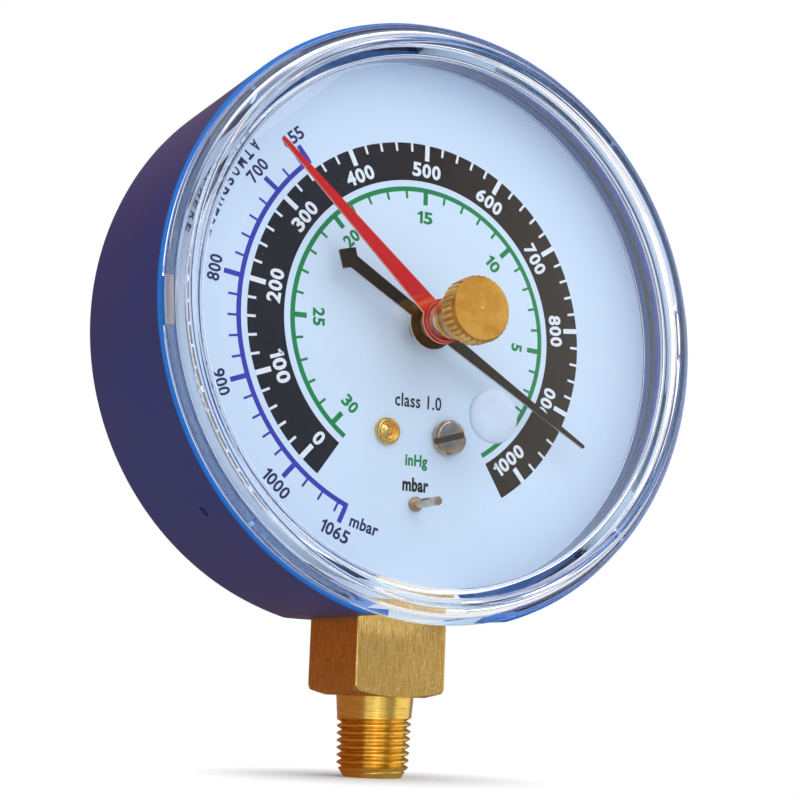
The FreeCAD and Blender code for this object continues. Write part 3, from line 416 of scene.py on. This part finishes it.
# plain steels: zinc plate is dull, turned arbors are bright, a stamped edge is left bare
zinc = makeMetal("zincPlate", "#cdcdc8", "#a5a59e", 0.34, 0.2)
brightSteel = makeMetal("turnedSteel", "#d2d2d0", "#acaca8", 0.24, 0.2)
bareEdge = makeMetal("bareCutEdge", "#e6dfd4", "#bdb3a6", 0.35, 0.1)
# stoved white enamel of the dial: matt, with a cool cast
dialEnamel = makePaint("whiteDialEnamel", "#cde4fb", "#c9e1fa", 0.5, 0.4, 0.001)
# screen-printed inks: matt and even, in a film that just stands up
bandInk = makeBandInk()
whiteInk = makePaint("whitePrintInk", "#e4eefa", "#d8e6f6", 0.5, 0.15, 0.002)
greenInk = makePaint("greenPrintInk", "#078a50", "#067f4a", 0.5, 0.15, 0.002)
blueInk = makePaint("bluePrintInk", "#373cba", "#3035a8", 0.5, 0.15, 0.002)
navyInk = makePaint("navyPrintInk", "#232a6c", "#1f2560", 0.5, 0.15, 0.002)
textInk = makePaint("blackTextInk", "#12151c", "#1e2128", 0.5, 0.15, 0.002)
# sprayed lacquer of the hands: satin; the red hand's edge is painted pale, a painted highlight
handBlack = makePaint("blackHandLacquer", "#1a1412", "#231b19", 0.32, 0.15)
handRed = makePaint("redHandLacquer", "#c60a17", "#ae0813", 0.32, 0.3, 0.003, 0.12)
redEdgeHighlight = makePaint("paleRedEdgeHighlight", "#f0a8a0", "#e89488", 0.35, 0.1)
# moulded polycarbonate: clear; frosted in the two notches and painted tan there, a painted reflection of
# warm surroundings; blurred where it grips the case and painted blue there, a painted reflection of the blue
# case
clearPlastic = makeClear("clearPolycarbonate", "#ffffff", 1.5, 0.0)
frosted = makeClear("frostedPolycarbonate", "#f0d2be", 1.5, 0.42)
skirtCaseReflection = makeClear("skirtPolycarbonateCaseReflection", "#9cc4f6", 1.5, 0.22)
# moulded nylon: slightly cloudy and cream
nylon = makeClear("clearNylon", "#f4f0e4", 1.3, 0.12)
milky = makeMilky()
print("materials made")


# Case, gasket and back screws
casePan = {"draft": 0.33, "wall": 0.9, "backRadius": 3.0, "rimRound": 0.3, "seat": 5.5, "lip": 0.4,
           "notchHalf": 7.0, "notchBack": 7.0, "ventAngle": 227.5, "ventRadius": 0.7, "ventSetback": 7.0,
           "ventDepth": 6.0, "screwHole": 1.6, "screwUps": (-30.1, -17.1)}


def chordCut(bm, up):
    # cuts a flat across the bottom of a turned solid and closes it
    bmesh.ops.bisect_plane(bm, geom=bm.verts[:] + bm.edges[:] + bm.faces[:], dist=1e-8,
                           plane_co=(0, 0, axisZ + mm * up), plane_no=(0, 0, -1), clear_outer=True)
    bmesh.ops.holes_fill(bm, edges=[edge for edge in bm.edges if edge.is_boundary], sides=0)
    return cleaned(bm)


def makeCase():
    c = casePan
    mouth = caseRadius - c["wall"]
    inner = mouth - c["lip"]
    backIn = backY - c["wall"]
    seatY = rimY + c["seat"]
    flare = mouth + c["rimRound"]
    outside = chordCut(lathe([(0, backY, 0), (caseRadius - c["draft"], backY, c["backRadius"]),
                              (caseRadius, rimY, c["rimRound"]), (caseRadius - c["rimRound"] * 2, rimY, 0),
                              (0, rimY, 0)]), flatUp)
    hollow = chordCut(lathe([(0, backIn, 0), (inner, backIn, c["backRadius"] - c["wall"]),
                             (inner, seatY, 0.05), (mouth, seatY, 0.05), (mouth, rimY, c["rimRound"]),
                             (flare, rimY - 0.001, 0), (flare, rimY - past, 0), (0, rimY - past, 0)]),
                      flatUp + c["wall"])
    notch = boxAt((-c["notchHalf"], rimY - past, flatUp - past),
                  (c["notchHalf"], c["notchBack"], flatUp + past))
    vent = bmesh.new()
    ventMiddle = onDial(caseRadius, c["ventAngle"], rimY + c["ventSetback"])
    lean = (onDial(1, c["ventAngle"], 0) - onDial(0, 0, 0)).to_track_quat("Z", "Y").to_matrix().to_4x4()
    bmesh.ops.create_cone(vent, cap_ends=True, segments=32, radius1=c["ventRadius"] * mm,
                          radius2=c["ventRadius"] * mm, depth=c["ventDepth"] * mm,
                          matrix=Matrix.Translation(ventMiddle) @ lean)
    holes = [lathe([(0, backY - past, 0), (c["screwHole"], backY - past, 0),
                    (c["screwHole"], backY + past, 0), (0, backY + past, 0)], 32, (0, up))
             for up in c["screwUps"]]
    pan = carved(carved(outside, [hollow]), [notch, vent] + holes)
    mouthMiddle = onDial(0, 0, rimY + c["seat"] / 2)
    # the outside and the vent's bore take the painted shaded copy of the enamel; the rim and the inside take
    # the painted lit copy
    for face in pan.faces:
        middle = face.calc_center_median()
        outer = face.normal.dot(middle - mouthMiddle) > 0 and middle.y > mm * (rimY + c["rimRound"] * 0.6)
        inVent = (middle - ventMiddle).length < mm * c["ventRadius"] * 2
        face.material_index = 0 if outer or inVent else 1
    return pan


flatFaces(addPiece("bluePan", makeCase(), [shadedEnamel, litEnamel], "root", ["case"], 40))
addPiece("sealRing", fromCad("gasket"), [rubber], "root", ["gasket"])
backScrews = addPiece("backScrews", fromCad("case_screws", True), [zinc], "root", ["case_screws"])
softenEdges(backScrews, 0.06)
print("case made")

# Socket with its thread
addPiece("threadedSocket", fromCad("socket"), [socketBrass], "root", ["socket"], 28)
print("socket made")

# Dial print, as thin films of ink on the plate
dialPrint = {"film": 0.02, "scaleSpan": 276.87, "fullScale": 1000, "perInch": 9.216, "middleInch": 15,
             "bold": 0.034, "spacing": 1.06}
blackBand = {"outer": 25.46, "inner": 20.28, "start": -145.3, "end": 148.0}
whiteMarks = {"outer": 25.48, "longMark": 2.25, "shortMark": 1.2, "longWidth": 0.68, "shortWidth": 0.34,
              "figureRadius": 21.85, "figureHeight": 2.0, "figureLength": {1: 1.36, 3: 4.4, 4: 5.5}}
greenScale = {"inner": 18.75, "outer": 19.4, "before": 7.2, "after": 9.7, "longFrom": 17.05,
              "shortFrom": 17.75, "marksTo": 18.8, "longWidth": 0.68, "shortWidth": 0.34,
              "figureRadius": 15.3, "figureHeight": 1.72, "figureLength": {1: 1.08, 2: 2.4}}
greenWord = {"text": "inHg", "at": (0, -18.05), "height": 2.05, "length": 3.35}
blueScale = {"inner": 26.3, "outer": 26.95, "overrun": 0.6, "marksFrom": 26.8, "longTo": 29.1,
             "shortTo": 28.15, "longWidth": 0.66, "shortWidth": 0.3, "figureRadius": 30.4,
             "figureHeight": 1.75, "figureLength": {3: 3.4, 4: 4.35}, "figureBold": 0.7,
             "places": {655: 651, 700: 700, 800: 800, 900: 900, 1000: 1000, 1065: 1069}}  # label: its place
navyWord = {"text": "mbar", "radius": 28.0, "angle": -164.7, "height": 1.65, "length": 4.3, "bold": 0.8}
arcWord = {"letters": "ATMOSPHERE", "from": -51.2, "step": -2.74, "radius": 32.8, "height": 1.75,
           "width": 1.05, "bold": 0.8}
blackWords = [{"text": "mbar", "at": (0, -21.05), "height": 1.9, "length": 3.95, "bold": 1.2},
              {"text": "class 1.0", "at": (0, -9.9), "height": 1.85, "length": 7.1, "bold": 0.45}]
digits = {"width": 0.68, "oneWidth": 0.42, "gap": 0.07}
flag = {"stroke": 0.19, "boldStroke": 0.06, "barAt": (0.3, 0.5, 0), "at": (0.12, 0.79, 0), "lean": 24,
        "length": 0.36, "thin": 0.72}


def scaleAngle(mbar):
    return dialPrint["scaleSpan"] * (mbar / dialPrint["fullScale"] - 0.5)


def mercuryAngle(inches):
    return dialPrint["perInch"] * (dialPrint["middleInch"] - inches)


def inkY(layer):
    return dialY - dialPrint["film"] * layer


def thickened(bm):
    # gives a flat print its film of ink, down to the layer below
    lifted = bmesh.ops.extrude_face_region(bm, geom=bm.faces[:])["geom"]
    moved = [item for item in lifted if isinstance(item, bmesh.types.BMVert)]
    bmesh.ops.translate(bm, verts=moved, vec=(0, mm * dialPrint["film"], 0))
    return cleaned(bm)


def arcBand(inner, outer, start, end):
    bm = bmesh.new()
    ends = [bm.verts.new(onDial(radius, start, inkY(1))) for radius in (inner, outer)]
    edge = bm.edges.new(ends)
    bmesh.ops.spin(bm, geom=ends + [edge], cent=onDial(0, 0, inkY(1)), axis=(0, 1, 0), dvec=(0, 0, 0),
                   angle=math.radians(end - start), steps=220, use_merge=False, use_duplicate=False)
    return thickened(bm)


def tickMarks(angles, inner, outer, width, layer=1):
    marks = []
    size = Matrix.Diagonal((mm * width, 1, mm * (outer - inner), 1))
    flat = Matrix.Rotation(math.radians(90), 4, "X")
    for angle in angles:
        bm = bmesh.new()
        place = Matrix.Translation(onDial((inner + outer) / 2, angle, inkY(layer))) @ clockwise(angle)
        bmesh.ops.create_grid(bm, x_segments=1, y_segments=1, size=0.5, matrix=place @ size @ flat)
        marks.append(thickened(bm))
    return merged(marks)


def glyphs(text, bold):
    # flat letters from the font, one unit high
    curve = bpy.data.curves.new("lettering", "FONT")
    curve.body = text
    curve.offset = dialPrint["bold"] * bold
    curve.space_character = dialPrint["spacing"]
    curve.resolution_u = 3
    holder = bpy.data.objects.new("lettering", curve)
    bpy.context.scene.collection.objects.link(holder)
    mesh = bpy.data.meshes.new_from_object(holder.evaluated_get(bpy.context.evaluated_depsgraph_get()))
    bpy.data.objects.remove(holder)
    bpy.data.curves.remove(curve)
    return fitted(fromMesh(mesh), None)


def flagOne(bold):
    # the font's one is a bare stroke, so this one has its flag
    bm = bmesh.new()
    stroke = flag["stroke"] + flag["boldStroke"] * bold
    bar = Matrix.Translation(flag["barAt"]) @ Matrix.Diagonal((stroke, 1, 1, 1))
    lean = Matrix.Rotation(math.radians(flag["lean"]), 4, "Z")
    size = Matrix.Diagonal((flag["length"], stroke * flag["thin"], 1, 1))
    tip = Matrix.Translation(flag["at"]) @ lean @ size
    for matrix in (bar, tip):
        bmesh.ops.create_grid(bm, x_segments=1, y_segments=1, size=0.5, matrix=matrix)
    return bm


def fitted(bm, width):
    # moves flat letters to the origin, one unit high and as wide as asked
    xs = [v.co.x for v in bm.verts]
    ys = [v.co.y for v in bm.verts]
    up = 1 / (max(ys) - min(ys))
    across = width / (max(xs) - min(xs)) if width else up
    back = Matrix.Translation((-min(xs), -min(ys), 0))
    bmesh.ops.transform(bm, matrix=Matrix.Diagonal((across, up, 1, 1)) @ back, verts=bm.verts[:])
    return bm


def digitRow(text, bold):
    # figures all as wide as each other, a one narrower
    parts = []
    x = 0
    for char in text:
        width = digits["oneWidth"] if char == "1" else digits["width"]
        part = fitted(flagOne(bold) if char == "1" else glyphs(char, bold), width)
        bmesh.ops.translate(part, verts=part.verts[:], vec=(x, 0, 0))
        parts.append(part)
        x += width + digits["gap"]
    return merged(parts)


def lettering(text, at, height, length, bold=1.0, turn=0.0, layer=1):
    # at: (x, up) of the middle; bold: share of the full weight
    bm = digitRow(text, bold) if text.isdigit() else glyphs(text, bold)
    fitted(bm, length / height)
    scale = mm * height
    place = Matrix.Translation((mm * at[0], mm * inkY(layer), axisZ + mm * at[1])) @ clockwise(turn)
    upright = Matrix.Rotation(math.radians(90), 4, "X") @ Matrix.Diagonal((scale, scale, scale, 1))
    middle = Matrix.Translation((-length / height / 2, -0.5, 0))
    bmesh.ops.transform(bm, matrix=place @ upright @ middle, verts=bm.verts[:])
    return thickened(bm)


def spotAt(radius, angle):
    return radius * math.sin(math.radians(angle)), radius * math.cos(math.radians(angle))


def around(text, radius, angle, height, length, bold=1.0, layer=1):
    # tops outwards, but inwards along the bottom of the dial
    turn = angle if -90 <= angle <= 95 else angle - math.copysign(180, angle)
    return lettering(text, spotAt(radius, angle), height, length, bold, turn, layer)


def makeWhiteMarks():
    w = whiteMarks
    hundreds = range(0, dialPrint["fullScale"] + 1, 100)
    twenties = [v for v in range(0, dialPrint["fullScale"], 20) if v % 100]
    parts = [tickMarks([scaleAngle(v) for v in hundreds], w["outer"] - w["longMark"], w["outer"],
                       w["longWidth"], 2),
             tickMarks([scaleAngle(v) for v in twenties], w["outer"] - w["shortMark"], w["outer"],
                       w["shortWidth"], 2)]
    for value in hundreds:
        length = w["figureLength"][len(str(value))]
        parts.append(around(str(value), w["figureRadius"], scaleAngle(value), w["figureHeight"], length,
                            layer=2))
    return merged(parts)


def makeGreenScale():
    g = greenScale
    inches = range(0, 2 * dialPrint["middleInch"] + 1)
    fives = [mercuryAngle(v) for v in inches if v % 5 == 0]
    ones = [mercuryAngle(v) for v in inches if v % 5]
    parts = [arcBand(g["inner"], g["outer"], min(fives) - g["before"], max(fives) + g["after"]),
             tickMarks(fives, g["longFrom"], g["marksTo"], g["longWidth"]),
             tickMarks(ones, g["shortFrom"], g["marksTo"], g["shortWidth"])]
    for value in inches[5::5]:
        length = g["figureLength"][len(str(value))]
        parts.append(around(str(value), g["figureRadius"], mercuryAngle(value), g["figureHeight"], length))
    parts.append(lettering(**greenWord))
    return merged(parts)


def makeBlueScale():
    b = blueScale
    longs = [scaleAngle(dialPrint["fullScale"] - v) for v in b["places"].values()]
    shorts = [scaleAngle(dialPrint["fullScale"] - v) for v in range(660, 1061, 20) if v % 100]
    return merged([arcBand(b["inner"], b["outer"], min(longs) - b["overrun"], max(longs) + b["overrun"]),
                   tickMarks(longs, b["marksFrom"], b["longTo"], b["longWidth"]),
                   tickMarks(shorts, b["marksFrom"], b["shortTo"], b["shortWidth"])])


def makeNavyWords():
    b = blueScale
    parts = []
    for value, place in b["places"].items():
        length = b["figureLength"][len(str(value))]
        parts.append(around(str(value), b["figureRadius"], scaleAngle(dialPrint["fullScale"] - place),
                            b["figureHeight"], length, b["figureBold"]))
    parts.append(around(**navyWord))
    for index, letter in enumerate(arcWord["letters"]):
        angle = arcWord["from"] + arcWord["step"] * index
        parts.append(lettering(letter, spotAt(arcWord["radius"], angle), arcWord["height"], arcWord["width"],
                               arcWord["bold"], angle + 180))  # tops towards the middle
    return merged(parts)


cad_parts["dial"].data.materials.clear()
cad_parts["dial"].data.materials.append(dialEnamel)
addPiece("blackBand", arcBand(blackBand["inner"], blackBand["outer"], blackBand["start"], blackBand["end"]),
         [bandInk], "root")
addPiece("whiteMarks", makeWhiteMarks(), [whiteInk], "root")
addPiece("greenScale", makeGreenScale(), [greenInk], "root")
addPiece("blueScale", makeBlueScale(), [blueInk], "root")
addPiece("navyWords", makeNavyWords(), [navyInk], "root")
addPiece("blackWords", merged([lettering(**word) for word in blackWords]), [textInk], "root")
print("dial printed")

# Dial screw, rivet and stop pin
screwForm = {"radius": 2.45, "face": 2.1, "height": 1.4, "collar": 0.5, "neck": 2.33, "shank": 1.2,
             "length": 3.5, "slotWidth": 0.8, "slotDepth": 0.8, "slotTurn": -17}
rivetForm = {"radius": 1.8, "height": 0.75, "rimIn": 1.3, "cup": 0.45, "shank": 0.9, "length": 3.5}


def makeDialScrew():
    s = screwForm
    spot = middleOf("dial_screw")
    top = dialY - s["height"]
    collarY = dialY - s["collar"]
    end = dialY + s["length"]
    head = lathe([(0, top, 0), (s["face"], top, 0.12), (s["radius"], top + 0.45, 0.15),
                  (s["radius"], collarY, 0.05), (s["neck"], collarY + 0.1, 0),
                  (s["neck"], dialY - 0.05, 0.03), (s["shank"], dialY - 0.02, 0), (s["shank"], end, 0.1),
                  (0, end, 0)], 96, spot)
    reach = s["radius"] + past
    slot = boxAt((spot[0] - reach, top - past, spot[1] - s["slotWidth"] / 2),
                 (spot[0] + reach, top + s["slotDepth"], spot[1] + s["slotWidth"] / 2))
    screw = carved(head, [turnedAbout(slot, s["slotTurn"], spot)])
    acrossSlot = clockwise(s["slotTurn"]) @ Vector((0, 0, 1))
    # the slot's walls and floor take the painted shade
    for face in screw.faces:
        depth = face.calc_center_median().y / mm - top
        isWall = abs(face.normal.dot(acrossSlot)) > 0.99 and depth > 0.05
        isFloor = depth > s["slotDepth"] - 0.01
        face.material_index = 1 if (isWall or isFloor) and depth < s["slotDepth"] + 0.01 else 0
    return screw


def makeDialRivet():
    r = rivetForm
    top = dialY - r["height"]
    cupY = top + r["cup"]
    end = dialY + r["length"]
    return lathe([(0, top + 0.1, 0), (0.3, top + 0.02, 0.1), (0.75, top + 0.3, 0.1), (1.0, cupY, 0.1),
                  (r["rimIn"] - 0.05, cupY, 0.05), (r["rimIn"], top, 0.12), (1.6, top, 0.15),
                  (r["radius"], top + 0.3, 0.15), (r["radius"], dialY - 0.02, 0.03),
                  (r["shank"], dialY - 0.02, 0), (r["shank"], end, 0), (0, end, 0)],
                 80, middleOf("dial_rivet"))


dialScrew = addPiece("dialScrew", makeDialScrew(), [nickel, shadedSlot], "root", ["dial_screw"])
flatFaces(softenEdges(dialScrew, 0.04))
addPiece("dialRivet", makeDialRivet(), [rivetBrass], "root", ["dial_rivet"], 50)
softenEdges(addPiece("stopPin", fromCad("stop_pin", True), [nickel], "root", ["stop_pin"]), 0.08)
print("dial's fittings made")

# Hands and knob
handForm = {"edge": 0.07, "bush": 0.06, "knob": 0.08}  # widths of the softened edges


def makeHand(node):
    # stamped and lacquered; the side faces take the second material: the bare cut edge on the black hand, a
    # painted highlight in pale red on the red hand
    bm = fromCad(node, True)
    rim = [edge for edge in bm.edges
           if len(edge.link_faces) == 2 and edge.calc_face_angle() > math.radians(60)]
    bmesh.ops.bevel(bm, geom=rim, offset=handForm["edge"] * mm, offset_type="OFFSET", segments=2,
                    profile=0.5, affect="EDGES", material=-1, clamp_overlap=True)
    for face in bm.faces:
        face.material_index = 0 if abs(face.normal.y) > 0.9 else 1
    return bm


flatFaces(addPiece("blackHand", makeHand("pointer"), [handBlack, bareEdge], "pointer", ["pointer"]))
handBush = addPiece("handBush", fromCad("pointer_bush", True), [nickel], "pointer", ["pointer_bush"])
softenEdges(handBush, handForm["bush"])
flatFaces(addPiece("redHand", makeHand("set_pointer"), [handRed, redEdgeHighlight], "set_hand", ["set_pointer"]))
addPiece("frictionWasher", fromCad("friction_washer"), [nylon], "set_hand", ["friction_washer"])
setKnob = addPiece("setKnob", fromCad("set_knob", True), [knobBrass], "set_hand", ["set_knob"],
                   30)
softenEdges(setKnob, handForm["knob"])
print("hands made")

# Window and plug
lens = {"plateBack": 0.5, "footRadius": 35.0, "ringIn": 36.3, "ringOut": 37.2, "ringRise": 3.4,
        "shoulder": 38.5, "shoulderRise": 1.6, "outer": 39.5, "straight": 1.0, "rimGap": 0.05, "skirt": 38.8,
        "skirtIn": 37.8, "skirtEnd": -10.45, "hollowBack": 0.15, "hollow": 37.5, "hollowRise": 0.9,
        "hollowTop": 36.95, "hollowTopRise": 1.9, "tube": 36.7, "tubeEnd": -9.65, "tubeIn": 35.8,
        "tubeTop": 35.3, "chordRise": 1.7, "knobHole": 2.28, "plugHole": 2.2, "notchTurn": -4.6,
        "notchWidth": 6.0, "notchDepth": 1.3, "notchBack": 0.9, "notchSpan": 4.6,
        "slots": (42, 132, 222, 312), "slotWidth": 0.6, "slotTop": -13.6}
plugForm = {"dome": 2.3, "flange": 3.6, "flangeEdge": 0.45, "stem": 2.16, "tail": 2.0, "tailLength": 0.2}


def makeWindow():
    # the skirt is a double wall: the outer one grips the case's mouth, the inner one comes down to the dial
    w = lens
    back = rimY + w["plateBack"]
    seat = rimY - w["rimGap"]
    ringY = rimY - w["ringRise"]
    hollowTopY = rimY - w["hollowTopRise"]
    body = lathe([(w["knobHole"], plateY, 0), (w["footRadius"], plateY, 0.35), (w["ringIn"], ringY, 0.2),
                  (w["ringOut"], ringY, 0.25), (w["shoulder"], rimY - w["shoulderRise"], 0.2),
                  (w["outer"], seat - w["straight"], 0.2), (w["outer"], seat, 0.12),
                  (w["skirt"], seat, 0.08), (w["skirt"], w["skirtEnd"], 0.15),
                  (w["skirtIn"], w["skirtEnd"], 0.15),
                  (w["skirtIn"], seat - w["hollowBack"], 0.1), (w["hollow"], rimY - w["hollowRise"], 0.05),
                  (w["hollowTop"], hollowTopY, 0.05), (w["tube"], hollowTopY, 0.05),
                  (w["tube"], w["tubeEnd"], 0.15), (w["tubeIn"], w["tubeEnd"], 0.15),
                  (w["tubeTop"], back, 0.25), (w["knobHole"], back, 0)], 224, closed=True)
    plug = lathe([(0, windowFrontY - past, 0), (w["plugHole"], windowFrontY - past, 0),
                  (w["plugHole"], back + past, 0), (0, back + past, 0)], 48, middleOf("window_plug"))
    chord = flatUp + w["chordRise"]
    cutters = [plug, boxAt((-caseRadius, seat + 0.001, -caseRadius - past),
                           (caseRadius, w["skirtEnd"] + past, chord))]
    for side in (90, 270):
        notch = boxAt((-w["notchWidth"] / 2, seat - w["notchBack"], w["outer"] - w["notchDepth"]),
                      (w["notchWidth"] / 2, seat, w["outer"] + past))
        cutters.append(turnedAbout(notch, side + w["notchTurn"]))
    for angle in w["slots"]:
        slot = boxAt((-w["slotWidth"] / 2, w["slotTop"], w["skirtIn"] - 0.3),
                     (w["slotWidth"] / 2, w["skirtEnd"] + past, w["skirt"] + 0.3))
        cutters.append(turnedAbout(slot, angle))
    window = carved(body, cutters)
    # the faces in the notches are frosted and painted tan, and the skirt is painted blue, both painted
    # reflections; small margins leave their neighbours out
    for face in window.faces:
        middle = face.calc_center_median() - onDial(0, 0, 0)
        away = math.hypot(middle.x, middle.z) / mm
        height = seat - middle.y / mm
        turn = (math.degrees(math.atan2(middle.x, middle.z)) - w["notchTurn"]) % 180 - 90
        inNotch = (w["outer"] - w["notchDepth"] - 0.05 < away < w["outer"] - 0.02
                   and abs(turn) < w["notchSpan"] and 0.01 < height < w["notchBack"] + 0.05)
        onSkirt = height < -0.1 and away > w["skirtIn"] - 0.1
        face.material_index = 2 if onSkirt else 1 if inNotch else 0
    return window


def makePlug():
    p = plugForm
    low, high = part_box("window_plug")
    front = low.y / mm
    end = high.y / mm
    return lathe([(0, front, 0), (p["dome"], front, 0.4), (p["flange"], front + p["flangeEdge"], 0.3),
                  (p["flange"], plateY, 0.1), (p["stem"], plateY, 0.05),
                  (p["stem"], end - p["tailLength"], 0.1), (p["tail"], end, 0.1), (0, end, 0)],
                 96, middleOf("window_plug"))


flatFaces(addPiece("clearWindow", makeWindow(), [clearPlastic, frosted, skirtCaseReflection], "window", ["window"],
                   35))
addPiece("windowPlug", makePlug(), [milky], "window_plug", ["window_plug"], 60)
print("window made")

# What is behind the dial keeps its solids and gets its metal
inside = {stampedBrass: ["movement_front_plate", "movement_back_plate", "movement_pillars", "sector_gear",
                         "link", "tube_tip", "hairspring_collet", "hairspring_stud"],
          zinc: ["plate_screws", "movement_screws"],
          brightSteel: ["sector_arbor", "sector_pin", "pinion_arbor", "tip_pin"],
          bronze: ["hairspring"]}
for material, nodes in inside.items():
    for node in nodes:
        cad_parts[node].data.materials.clear()
        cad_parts[node].data.materials.append(material)

# The tube is fast in the socket at its foot; its piece is left unattached, in its place at rest
bentTube = addPiece("bentTube", fromCad("bourdon_tube"), [bronze], None, ["bourdon_tube"])
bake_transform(bentTube)
print("movement dressed")

# Floor, light and camera
stage = {"floor": "#f6f6f6", "fadeFrom": 6, "fadeTo": 24, "drop": 0.02, "size": 3000, "mirrorShare": 0.8}
studio = {"soft": "#cccccf", "far": "#8e4c0a", "behind": "#b0b0b2", "plate": (0.484, -0.858, 0.171),
          "plateFrom": 0.95, "plateTo": 0.985, "plateCrossings": 3.5}
# colour and direction of each area, and the cosines between which it fades in
areas = [("#86827c", (0.64, -0.77, 0), -0.5, 0.4), ("#e8eef8", (0, 0, 1), 0.45, 0.8),
         ("#fff8ec", (0.93, -0.34, 0.12), 0.76, 0.88), ("#fffaf0", (-0.205, -0.963, 0.17), 0.89, 0.95)]
# place and width of each lamp in metres, and its watts
lamps = {"keyLamp": ((0.02, -0.72, 0.66), 0.95, 3.9), "fillLamp": ((-0.55, -0.75, 0.05), 0.8, 1.0),
         "sideLamp": ((0.62, -0.40, 0.42), 0.5, 0.9)}
view = {"at": (-111.414, -201.602, 10.621), "right": (0.86755, -0.49599, 0.03665),
        "down": (0.11638, 0.13081, -0.98456), "forward": (0.48354, 0.85842, 0.17121), "lens": 76.69,
        "sensor": 36, "nearest": 10}


def makeStage():
    # painted board: matt near the stem, where it takes the shadow, and plain white to the camera further out
    bm = bmesh.new()
    bmesh.ops.create_grid(bm, x_segments=1, y_segments=1, size=mm * stage["size"])
    floor = bpy.data.objects.new("studioFloor", asMesh(bm, "studioFloor"))
    bpy.context.scene.collection.objects.link(floor)
    floor.location.z = -stage["drop"] * mm
    material, tree, place = startMaterial("paleFloor")
    board = addNode(tree, "BsdfPrincipled", {"Base Color": hexColour(stage["floor"]), "Roughness": 0.9})
    path = addNode(tree, "LightPath").outputs
    away = addNode(tree, "VectorMath", [place], operation="LENGTH").outputs["Value"]
    far = addNode(tree, "MapRange", [away, mm * stage["fadeFrom"], mm * stage["fadeTo"]])
    seen = addNode(tree, "Math", [far, path["Is Camera Ray"]], operation="MULTIPLY")
    white = addNode(tree, "Emission", [(1, 1, 1, 1), 1.0])
    both = addNode(tree, "MixShader", [seen, board, white])
    # the metal mirrors the room more than the floor
    mirrors = addNode(tree, "Math", [path["Is Glossy Ray"], stage["mirrorShare"]], operation="MULTIPLY")
    both = addNode(tree, "MixShader", [mirrors, both, addNode(tree, "BsdfTransparent")])
    addNode(tree, "OutputMaterial", [both])
    floor.data.materials.append(material)


def makeWorld():
    # soft light all round; what is mirrored sees a room with lit areas, and the camera sees white
    world = bpy.data.worlds.new("softStudio")
    bpy.context.scene.world = world
    world.use_nodes = True
    tree = world.node_tree
    tree.nodes.clear()
    heading = addNode(tree, "TexCoord").outputs["Generated"]
    room = hexColour(studio["far"])
    for colour, direction, start, end in areas:
        ahead = addNode(tree, "VectorMath", [heading, direction], operation="DOT_PRODUCT").outputs["Value"]
        share = addNode(tree, "MapRange", [ahead, start, end])
        room = addNode(tree, "MixRGB", [share, room, hexColour(colour)])
    path = addNode(tree, "LightPath").outputs
    reflected = addNode(tree, "Math", [path["Glossy Depth"], 0.5], operation="GREATER_THAN")
    inPlastic = addNode(tree, "Math", [path["Transmission Depth"], 0.5], operation="GREATER_THAN")
    behindPlate = addNode(tree, "Math", [path["Transmission Depth"], studio["plateCrossings"]],
                          operation="GREATER_THAN")
    room = addNode(tree, "MixRGB", [behindPlate, room, hexColour(studio["behind"])])
    # white shows through and inside the plastic, but not in metal behind the window
    bent = addNode(tree, "Math", [inPlastic, path["Is Glossy Ray"]], operation="MULTIPLY")
    bent = addNode(tree, "Math", [bent, path["Is Transmission Ray"]], operation="MAXIMUM")
    metalBehind = addNode(tree, "Math", [reflected, behindPlate], operation="MULTIPLY")
    bent = addNode(tree, "Math", [bent, metalBehind], operation="SUBTRACT")
    # nor in the plate's own reflection, which would lie on the dial as a haze
    ahead = addNode(tree, "VectorMath", [heading, studio["plate"]], operation="DOT_PRODUCT").outputs["Value"]
    inMirror = addNode(tree, "MapRange", [ahead, studio["plateFrom"], studio["plateTo"]])
    haze = addNode(tree, "Math", [reflected, inMirror], operation="MULTIPLY")
    bent = addNode(tree, "Math", [bent, addNode(tree, "Math", [1.0, haze], operation="SUBTRACT")],
                   operation="MULTIPLY")
    plain = addNode(tree, "Math", [path["Is Camera Ray"], bent], operation="MAXIMUM")
    light = addNode(tree, "MixRGB", [reflected, hexColour(studio["soft"]), room])
    seen = addNode(tree, "MixRGB", [plain, light, (1, 1, 1, 1)])
    addNode(tree, "OutputWorld", [addNode(tree, "Background", [seen, 1.0])])


def addLamp(name, at, size, watts):
    lamp = bpy.data.lights.new(name, "AREA")
    lamp.shape = "DISK"
    lamp.size = size
    lamp.energy = watts
    holder = bpy.data.objects.new(name, lamp)
    bpy.context.scene.collection.objects.link(holder)
    holder.location = at
    holder.rotation_euler = (Vector((0, 0, axisZ)) - Vector(at)).to_track_quat("-Z", "Y").to_euler()


def makeCamera():
    data = bpy.data.cameras.new("photoView")
    data.lens = view["lens"]
    data.sensor_width = view["sensor"]
    data.clip_start = view["nearest"] * mm
    camera = bpy.data.objects.new("photoView", data)
    bpy.context.scene.collection.objects.link(camera)
    axes = Matrix((view["right"], [-v for v in view["down"]], [-v for v in view["forward"]])).transposed()
    camera.matrix_world = Matrix.Translation(Vector(view["at"]) * mm) @ axes.to_4x4()
    bpy.context.scene.camera = camera


makeStage()
makeWorld()
for name, values in lamps.items():
    addLamp(name, *values)
makeCamera()
bpy.context.scene.view_settings.view_transform = "Standard"
print("stage set")
